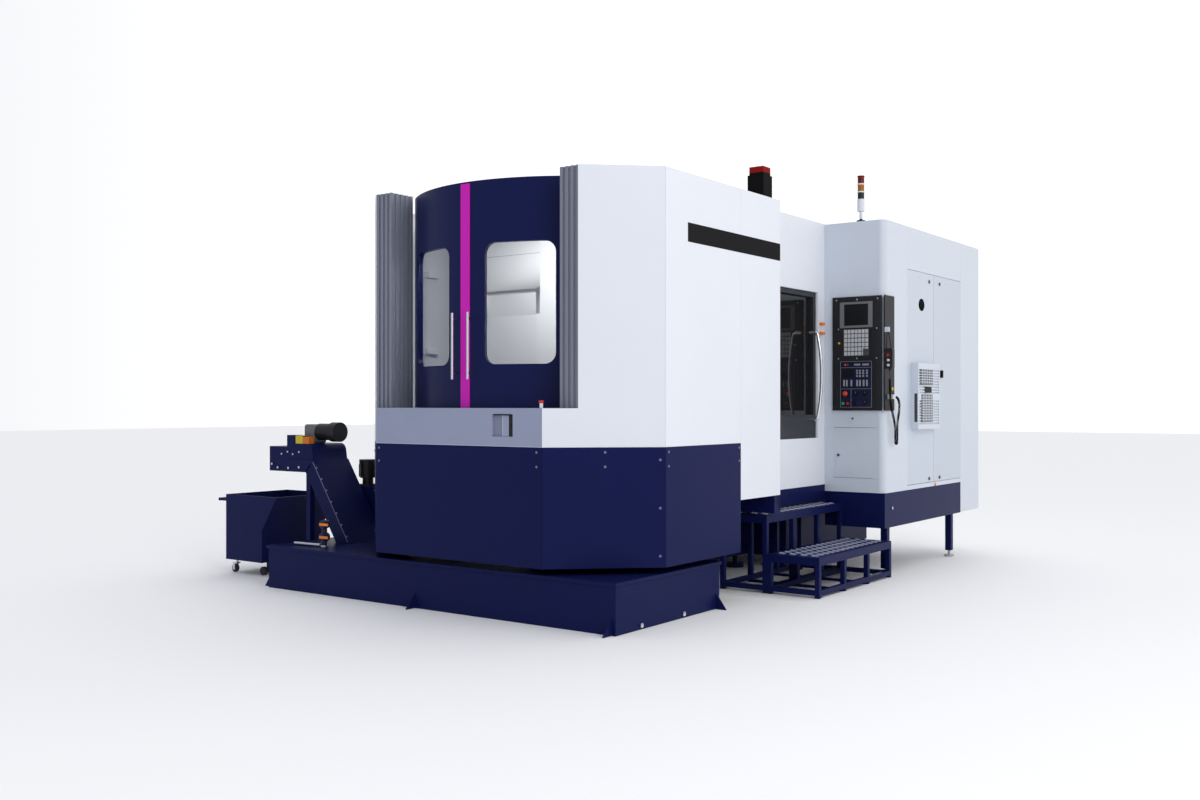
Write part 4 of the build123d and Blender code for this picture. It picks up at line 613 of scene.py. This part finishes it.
# The grille fields and the side vent are dark as painted shade inside openings.
grille_shade_dark = painted("grille_shade_dark", (0.05, 0.052, 0.058, 1), rough=0.5)
grille_fields = (((4.12, 1.682), (4.43, 1.822)), ((4.15, 1.336), (4.43, 1.592)))
rib_spaces, bar_pitch = 7, 0.024
rib_half, rib_proud = 0.005, 0.004
bar_half, bar_proud = 0.003, 0.003
for number, ((left, bottom), (right, top)) in enumerate(grille_fields):
    low = (cooler_face - 0.003, left, bottom)
    high = (cooler_face + 0.0015, right, top)
    field = block(f"cooler_grille_{number}", low, high, 0.001)
    settle(field, "cabinet_front_leaf", grille_shade_dark)
    width, height = right - left, top - bottom
    for index in range(rib_spaces - 1):
        y = left + width * (index + 1) / rib_spaces
        low = (cooler_face, y - rib_half, bottom)
        high = (cooler_face + rib_proud, y + rib_half, top)
        rib = block(f"grille_{number}_rib_{index}", low, high, 0.001)
        settle(rib, "cabinet_front_leaf", cooler_white)
    bar_spaces = round(height / bar_pitch)
    for index in range(bar_spaces - 1):
        z = bottom + height * (index + 1) / bar_spaces
        low = (cooler_face, left, z - bar_half)
        high = (cooler_face + bar_proud, right, z + bar_half)
        bar = block(f"grille_{number}_bar_{index}", low, high, 0.0008)
        settle(bar, "cabinet_front_leaf", cooler_white)
display_low = (cooler_face - 0.004, 4.235, 1.608)
display_high = (cooler_face + 0.002, 4.405, 1.662)
display = block("cooler_display", display_low, display_high, 0.0015)
settle(display, "cabinet_front_leaf", black_plastic)
vent = block("cooler_vent", (1.768, 4.0735, 1.34), (1.796, 4.08, 1.60), 0.001)
settle(vent, "cabinet_front_leaf", grille_shade_dark)

# Main switch: a black moulded rotary handle on its plate, screwed to the rear leaf.
# It is one colour all over and turns on a short spindle.
dressed("main_switch", 0.003, black_plastic)

# Signal tower: a white mast foot and housing with three moulded lenses, screwed to the cabinet's roof.
# The foot is black, and the lenses are dark, amber and red from below, the amber and red dimmed as painted
# shade on the lamps.
tower_x, tower_y = 1.483, 3.54
tower_coat = painted("tower_white", (0.72, 0.74, 0.78, 1), rough=0.36)
# The amber and red lens tones are darkened as painted shade on the lamp housing.
for low, high, colour in ((3.1155, 3.145, (0.03, 0.03, 0.034, 1)), (3.322, 3.379, (0.02, 0.02, 0.022, 1)),
                          (3.391, 3.448, (0.34, 0.12, 0.012, 1)), (3.460, 3.53, (0.13, 0.008, 0.008, 1))):
    tint(tower_coat, (tower_x - 0.1, tower_y - 0.1, low), (tower_x + 0.1, tower_y + 0.1, high), colour)
dressed("signal_tower", 0.0012, tower_coat)

# Operator panel: a dark sheet housing on the cabinet's front with a wing at its outer edge.
# Round-headed screws hold it along its edges, and its white storage door hangs below.
panel_dark = painted("panel_dark", (0.020, 0.020, 0.023, 1), rough=0.45, shine=0.15)
tint(panel_dark, (1.329, 3.42, 1.471), (1.629, 3.4425, 1.883), (0.010, 0.012, 0.038, 1))
dressed("panel_housing", 0, panel_dark)
dressed("storage_door", 0, cabinet_white)
panel_face = 3.445
panel_rows = ((2.425, (1.295, 1.489, 1.680)), (2.166, (1.312, 1.672)), (1.905, (1.312, 1.489, 1.672)))
panel_places = [(x, panel_face, z) for z, row in panel_rows for x in row]
panel_screws = copied(screw(0.007, 0.004), "panel_screws", to_front, panel_places)
settle(panel_screws, "machine", plug_steel)
yellow_plastic = painted("yellow_plastic", (0.75, 0.50, 0.02, 1), rough=0.34, shine=0.5)
port_cap = copied(screw(0.009, 0.008), "panel_port_cap", to_front, [(1.320, panel_face, 2.043)])
settle(port_cap, "machine", yellow_plastic)
wing_cap = copied(screw(0.015, 0.010), "wing_port_cap", to_right, [(1.747, 3.60, 1.636)])
settle(wing_cap, "machine", yellow_plastic)

# Display and keyboard: a grey moulded bezel round a black screen, and a keyboard of square light keys
# below it, both clipped into the housing.
bezel_grey = painted("bezel_grey", (0.16, 0.165, 0.175, 1), rough=0.42)
tint(bezel_grey, (1.366, 3.40, 2.196), (1.593, 3.50, 2.384), (0.006, 0.006, 0.008, 1))
tint(bezel_grey, (1.355, 3.4444, 1.92), (1.603, 3.46, 2.168), (0.045, 0.047, 0.055, 1))
tint(bezel_grey, (1.355, 3.43, 1.92), (1.603, 3.4444, 2.168), (0.50, 0.51, 0.52, 1))
tint(bezel_grey, (1.545, 3.43, 1.92), (1.603, 3.4444, 1.99), (0.07, 0.072, 0.08, 1))
dressed("display_unit", 0.002, bezel_grey)

# Control plate: an engraved navy plate under the keyboard with fine grey frame lines, rows of push keys,
# three round knobs, a dark window and a row of small lamps.
key_light = painted("key_light", (0.27, 0.28, 0.32, 1), rough=0.45)


def key_cap(size, height):
    """Square key at the origin, facing up, drawn in towards its dished top."""
    bpy.ops.object.select_all(action="DESELECT")
    bpy.ops.mesh.primitive_cube_add(size=1, location=(0, 0, height / 2), scale=(size, size, height))
    cap = bpy.context.object
    bpy.ops.object.transform_apply(location=True, rotation=True, scale=True)
    pick_faces(cap, lambda face: face.normal.z > 0.9)
    bpy.ops.transform.resize(value=(0.86, 0.86, 1))
    bpy.ops.mesh.inset(thickness=size * 0.14)
    bpy.ops.transform.translate(value=(0, 0, -height * 0.15))
    bpy.ops.object.mode_set(mode="OBJECT")
    return cap


plate_face = 3.441
frame_line = painted("frame_line", (0.26, 0.27, 0.31, 1), rough=0.45)
plate_left, plate_right, plate_low, plate_high = 1.333, 1.625, 1.475, 1.879
row_lamps, row_lower, field_split = 1.825, 1.637, 1.433
line_half = 0.0014
lines = [(x - line_half, x + line_half, plate_low, plate_high) for x in (plate_left, plate_right)]
line_rows = (plate_low, row_lower, row_lamps, plate_high)
lines += [(plate_left, plate_right, z - line_half, z + line_half) for z in line_rows]
lines.append((field_split - line_half, field_split + line_half, plate_low, row_lower))
for number, (left, right, low, high) in enumerate(lines):
    line_low = (left, plate_face - 0.0012, low)
    line_high = (right, plate_face + 0.0005, high)
    line = block(f"plate_line_{number}", line_low, line_high, 0.0003)
    settle(line, "machine", frame_line)
button_places = [(x, plate_face, z) for x in (1.4905, 1.5174, 1.548, 1.5827) for z in (1.796, 1.7735, 1.749)]
plate_keys = copied(key_cap(0.017, 0.005), "plate_keys", to_front, button_places)
settle(plate_keys, "machine", key_light)
bar_half_width = 0.008
for number, x in enumerate((1.3675, 1.394, 1.4367, 1.4905, 1.5174, 1.552, 1.5827)):
    low = (x - bar_half_width, plate_face - 0.004, 1.66)
    high = (x + bar_half_width, plate_face, 1.716)
    bar = block(f"plate_bar_{number}", low, high, 0.0012)
    settle(bar, "machine", key_light)
window = block("plate_window", (1.352, plate_face - 0.003, 1.74), (1.452, plate_face, 1.81), 0.001)
settle(window, "machine", black_plastic)
for number, (left, right, finish) in enumerate(((1.372, 1.384, orange_plastic), (1.396, 1.408, red_plastic),
                                                (1.462, 1.52, key_light), (1.54, 1.60, key_light))):
    lamp = block(f"plate_lamp_{number}", (left, plate_face - 0.003, 1.842), (right, plate_face, 1.858), 0.001)
    settle(lamp, "machine", finish)


def knob(radius, height):
    """Round knob at the origin, facing up, stepped in above its skirt."""
    bpy.ops.object.select_all(action="DESELECT")
    bpy.ops.mesh.primitive_cylinder_add(vertices=24, radius=radius, depth=height * 0.3,
                                        location=(0, 0, height * 0.15))
    cap = bpy.context.object
    bpy.ops.object.transform_apply(location=True, rotation=True, scale=True)
    pick_faces(cap, lambda face: face.normal.z > 0.9)
    bpy.ops.mesh.inset(thickness=radius * 0.25)
    bpy.ops.mesh.extrude_region_move(TRANSFORM_OT_translate={"value": (0, 0, height * 0.7)})
    bpy.ops.object.mode_set(mode="OBJECT")
    ease(cap, radius * 0.07)
    return cap


knob_middles = ((1.483, 1.597), (1.571, 1.597), (1.571, 1.514))
knob_places = [(x, plate_face, z) for x, z in knob_middles]
knobs = copied(knob(0.021, 0.016), "override_knobs", to_front, knob_places)
settle(knobs, "machine", black_plastic)
mark_half, mark_length = 0.0015, 0.014
for number, (x, z) in enumerate(knob_middles):
    low = (x - mark_half, plate_face - 0.0166, z)
    high = (x + mark_half, plate_face - 0.0155, z + mark_length)
    mark = block(f"knob_mark_{number}", low, high, 0.0003)
    settle(mark, "machine", key_light)
lower_dot = copied(screw(0.010, 0.005), "storage_dot", to_front, [(1.445, panel_face, 1.375)])
settle(lower_dot, "machine", lock_black)
latch_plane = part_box("storage_door")[0].y
latch = copied(screw(0.012, 0.006), "storage_latch_cap", to_front, [(1.303, latch_plane, 1.05)])
settle(latch, "storage_leaf", lock_black)

# Push buttons: moulded caps in threaded collars through the control plate.
# The emergency button is the large orange-red one, with a red stop and a green start button.
button_green = painted("button_green", (0.02, 0.36, 0.12, 1), rough=0.3, shine=0.5)
button_orange_red = painted("button_orange_red", (0.72, 0.06, 0.012, 1), rough=0.3, shine=0.5)
dressed("emergency_button", 0.002, button_orange_red)
dressed("stop_button", 0.001, red_plastic)
dressed("start_button", 0.001, button_green)

# Pendant: a black moulded hand unit that hangs on the wing by a bent wire loop, with a dial that has a
# red cap, two pale knobs under it, and its plug in a socket on the wing.
pendant_coat = painted("pendant_black", (0.016, 0.016, 0.018, 1), rough=0.42, drift=0.3)
for height in (1.884, 1.840):
    tint(pendant_coat, (1.76, 3.40, height - 0.013), (1.80, 3.4385, height + 0.013), (0.62, 0.62, 0.60, 1))
tint(pendant_coat, (1.7475, 3.495, 1.54), (1.81, 3.55, 1.59), (0.66, 0.67, 0.69, 1))
dressed("pendant", 0.003, pendant_coat)
dial_coat = painted("dial_black", (0.02, 0.02, 0.022, 1), rough=0.35)
tint(dial_coat, (1.772, 3.40, 1.918), (1.792, 3.50, 1.938), (0.55, 0.018, 0.014, 1))
dressed("pendant_dial", 0.001, dial_coat)
hook = block("pendant_hook", (1.745, 3.437, 2.128), (1.790, 3.452, 2.172), 0.004)
settle(hook, "machine", cabinet_white)
for number, x in enumerate((1.760, 1.804)):
    loop_top = (1.768 + 0.008 * number, 3.4445, 2.145)
    wire = round_bar(f"pendant_loop_{number}", (x, 3.445, 1.985), loop_top, 0.0035, 0.001)
    settle(wire, "machine", black_plastic)

# Pendant cord: a curly rubber cord that drops from the pendant's gland, turns up at its lowest point and
# comes back to the plug on the wing.
cord_x = 1.782
cord_radius = 0.006
cord_route = ((3.465, 1.789), (3.466, 1.700), (3.468, 1.610), (3.480, 1.520), (3.520, 1.430), (3.567, 1.360),
              (3.587, 1.290), (3.589, 1.230), (3.589, 1.176), (3.596, 1.159), (3.612, 1.152), (3.628, 1.159),
              (3.635, 1.176), (3.635, 1.230), (3.637, 1.300), (3.650, 1.370), (3.676, 1.430), (3.688, 1.490),
              (3.664, 1.545), (3.610, 1.566), (3.545, 1.566))
route = bpy.data.curves.new("cord_route", "CURVE")
route.dimensions = "3D"
route.resolution_u = 24
spline = route.splines.new("NURBS")
spline.points.add(len(cord_route) - 1)
for point, (y, z) in zip(spline.points, cord_route):
    point.co = (cord_x, y, z, 1)
spline.order_u = 3
spline.use_endpoint_u = True
route_object = bpy.data.objects.new("cord_route", route)
bpy.context.collection.objects.link(route_object)
bpy.context.view_layer.update()
route_shape = route_object.evaluated_get(bpy.context.evaluated_depsgraph_get())
line_mesh = bpy.data.meshes.new_from_object(route_shape)
cord_line = [vertex.co.copy() for vertex in line_mesh.vertices]
bpy.data.objects.remove(route_object)
cord_length = sum((b - a).length for a, b in zip(cord_line, cord_line[1:]))
strand_radius = 0.0021
coil_radius = cord_radius * 1.5
turns_per_metre = 165
points_per_turn = 12
tail, spread, wind = 0.03, 0.025, 0.03
steps = round(cord_length * turns_per_metre * points_per_turn)
lengths = [0]
for a, b in zip(cord_line, cord_line[1:]):
    lengths.append(lengths[-1] + (b - a).length)


def eased(share):
    """Smooth rise from 0 to 1."""
    share = min(1, max(0, share))
    return share * share * (3 - 2 * share)


helix = []
place = 0
angle = 0
for step in range(steps + 1):
    travel = cord_length * step / steps
    while place < len(cord_line) - 2 and lengths[place + 1] < travel:
        place += 1
    part = (travel - lengths[place]) / (lengths[place + 1] - lengths[place])
    centre = cord_line[place].lerp(cord_line[place + 1], part)
    along = (cord_line[place + 1] - cord_line[place]).normalized()
    across = Vector((1, 0, 0))
    outward = along.cross(across)
    near_end = min(travel, cord_length - travel)
    reach = coil_radius * eased((near_end - tail) / spread)
    angle += 2 * pi / points_per_turn * eased((near_end - tail - spread) / wind)
    helix.append(centre + (across * cos(angle) + outward * sin(angle)) * reach)
coil = bpy.data.curves.new("pendant_coil", "CURVE")
coil.dimensions = "3D"
coil.bevel_depth = strand_radius
coil.bevel_resolution = 1
coil.resolution_u = 2
strand = coil.splines.new("NURBS")
strand.points.add(len(helix) - 1)
for point, spot in zip(strand.points, helix):
    point.co = (*spot, 1)
strand.order_u = 3
strand.use_endpoint_u = True
coil_object = bpy.data.objects.new("pendant_coil", coil)
bpy.context.collection.objects.link(coil_object)
cord_rubber = painted("cord_rubber", (0.006, 0.006, 0.007, 1), rough=0.6, shine=0.08)
settle(coil_object, "machine", cord_rubber)
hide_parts("pendant_cord")

# Chip conveyor: a welded navy casing with flanged side seams, bolted up through its head plates.
# Bright hexagon-socket screws show along the head, and the posts stand on the floor.
dressed("conveyor_casing", 0.003, navy_enamel)
conveyor_front = 0.37
head_middles = ((-2.62, 0.98), (-2.54, 0.95), (-2.40, 0.95), (-2.26, 0.96))
head_places = [(x, conveyor_front - 0.010, z) for x, z in head_middles]
head_screws = copied(screw(0.011, 0.006), "conveyor_head_screws", to_front, head_places)
settle(head_screws, "machine", plug_steel)
crown_middles = ((-2.50, 1.07), (-2.42, 1.09), (-2.35, 1.07), (-2.27, 1.09))
crown_places = [(x, conveyor_front, z) for x, z in crown_middles]
crown_screws = copied(screw(0.009, 0.006), "conveyor_crown_screws", to_front, crown_places)
settle(crown_screws, "machine", plug_steel)
flange_plane = conveyor_front - 0.012
flange_top, flange_foot = Vector((-2.08, flange_plane, 1.01)), Vector((-1.645, flange_plane, 0.36))
flange_count = 7
flange_offset = Vector((0.02, 0, 0))
flange_shares = [(step + 0.5) / flange_count for step in range(flange_count)]
flange_places = [flange_top.lerp(flange_foot, share) + flange_offset for share in flange_shares]
flange_screws = copied(screw(0.008, 0.005), "conveyor_flange_screws", to_front, flange_places)
settle(flange_screws, "machine", screw_navy)
# A light bar down the sloped flange is a painted highlight on the flange's edge.
flange_highlight_navy = painted("flange_highlight_navy", (0.16, 0.18, 0.30, 1), rough=0.4)
flange_highlight_bar = round_bar("conveyor_rub_edge", flange_top, flange_foot, 0.003, 0.001, 8)
settle(flange_highlight_bar, "machine", flange_highlight_navy)

# Conveyor drive: a grey worm gearbox with a black motor, and two switch boxes on the casing's crown.
# The boxes are moulded in yellow and orange, and the rest is sprayed.
drive_coat = painted("drive_black", (0.016, 0.016, 0.019, 1), rough=0.45)
tint(drive_coat, (-2.352, 0.45, 1.16), (-2.215, 0.70, 1.34), (0.17, 0.175, 0.19, 1))
tint(drive_coat, (-2.328, 0.37, 1.16), (-2.2305, 0.44, 1.24), (0.62, 0.47, 0.03, 1))
tint(drive_coat, (-2.2295, 0.37, 1.16), (-2.15, 0.44, 1.24), (0.62, 0.17, 0.01, 1))
dressed("conveyor_drive", 0.003, drive_coat)

# Coolant pumps and manifold: black pump motors on the box at the tank's rear, and a pipe block with
# two orange lever valves at its front corner.
pump_coat = painted("pump_black", (0.014, 0.014, 0.017, 1), rough=0.42)
tint(pump_coat, (-2.09, 0.79, 0.34), (-1.69, 1.17, 0.7845), navy_colour)
tint(pump_coat, (-1.70, -0.02, 0.34), (-1.52, 0.18, 0.60), (0.012, 0.016, 0.05, 1))
dressed("coolant_pumps", 0.002, pump_coat)
for level in ("low", "high"):
    dressed(f"valve_lever_{level}", 0.002, orange_plastic)
nut = round_bar("manifold_nut", (-1.61, 0.08, 0.349), (-1.61, 0.08, 0.366), 0.034, 0.002, 6)
settle(nut, "machine", plug_steel)
pipe = round_bar("return_pipe", (-1.95, 0.06, 0.362), (-1.66, 0.08, 0.362), 0.013, 0.002)
settle(pipe, "machine", plug_steel)
box_plug = copied(screw(0.03, 0.012), "pump_box_plug", to_front, [(-1.849, 0.8, 0.419)])
settle(box_plug, "machine", plug_steel)

# Chip cart: a folded navy tub with a tube handle, on two swivel casters and a fixed axle.
# The forks are bright plated steel and the tyres dark rubber.
dressed("cart_body", 0.003, navy_enamel)
tyre_rubber = painted("tyre_rubber", (0.035, 0.035, 0.038, 1), rough=0.7, shine=0.2)
dressed("cart_axle", 0.002, tyre_rubber)
for side in ("near", "far"):
    dressed(f"caster_fork_{side}", 0.0015, plug_steel)
    dressed(f"caster_wheel_{side}", 0.003, tyre_rubber)

# Floor and light: a pale studio floor under a bright sky that dims towards the viewer's left,
# with the key light high on the right and a work lamp in the loading bay.
bpy.ops.object.select_all(action="DESELECT")
bpy.ops.mesh.primitive_plane_add(size=120, location=(0, 0, -0.0005))
floor = bpy.context.object
floor.name = "studio_floor"
floor_paint = bpy.data.materials.new("studio_floor")
floor_paint.use_nodes = True
floor_shader = floor_paint.node_tree.nodes["Principled BSDF"]
floor_shader.inputs["Base Color"].default_value = (0.96, 0.96, 0.965, 1)
floor_shader.inputs["Roughness"].default_value = 0.75
floor.data.materials.append(floor_paint)

sky = bpy.data.worlds.new("studio")
bpy.context.scene.world = sky
sky.use_nodes = True
sky_nodes = sky.node_tree.nodes
sky_link = sky.node_tree.links.new
bearing = sky_nodes.new("ShaderNodeTexCoord")
slope = sky_nodes.new("ShaderNodeVectorMath")
slope.operation = "DOT_PRODUCT"
slope.inputs[1].default_value = (0.35, 0.8, 0)
sky_link(bearing.outputs["Generated"], slope.inputs[0])
share = sky_nodes.new("ShaderNodeMapRange")
share.inputs["From Min"].default_value = -0.55
share.inputs["From Max"].default_value = 0.3
sky_link(slope.outputs["Value"], share.inputs["Value"])
sky_tone = sky_nodes.new("ShaderNodeMix")
sky_tone.data_type = "RGBA"
sky_tone.inputs[6].default_value = (0.44, 0.46, 0.53, 1)
sky_tone.inputs[7].default_value = (1, 1, 1, 1)
sky_link(share.outputs["Result"], sky_tone.inputs["Factor"])
sky_link(sky_tone.outputs[2], sky_nodes["Background"].inputs["Color"])
sky_nodes["Background"].inputs["Strength"].default_value = 1.12
bpy.context.scene.view_settings.view_transform = "Standard"


def softbox(name, place, aim, size, power):
    """Square soft light at a place, turned to an aim."""
    light = bpy.data.lights.new(name, "AREA")
    light.size = size
    light.energy = power
    lamp = bpy.data.objects.new(name, light)
    bpy.context.collection.objects.link(lamp)
    lamp.location = place
    lamp.rotation_euler = (Vector(aim) - Vector(place)).to_track_quat("-Z", "Y").to_euler()


softbox("key", (11, -4, 7), (0.5, 2, 1.2), 5, 330)
softbox("bay_lamp", (0.1, 0.4, 2.8), (-0.2, 1.19, 1.7), 0.3, 11)

# Camera: at standing eye height off the right front corner, level, as the photograph was taken.
# Its lens and turn come from the photograph's vanishing lines.
eye = (5.7752, -6.2724, 1.5)
eye_turn = 36.1246
focal_pixels = 1177.19
picture_width = 1200
picture_height = 800
horizon_row = 404.35
film_width = 36
camera = bpy.data.cameras.new("photo_camera")
camera.sensor_width = film_width
camera.lens = film_width * focal_pixels / picture_width
camera.shift_y = (horizon_row - picture_height / 2) / picture_width
camera_object = bpy.data.objects.new("photo_camera", camera)
bpy.context.collection.objects.link(camera_object)
camera_object.location = eye
camera_object.rotation_euler = (radians(90), 0, radians(eye_turn))
bpy.context.scene.camera = camera_object

bpy.context.view_layer.update()
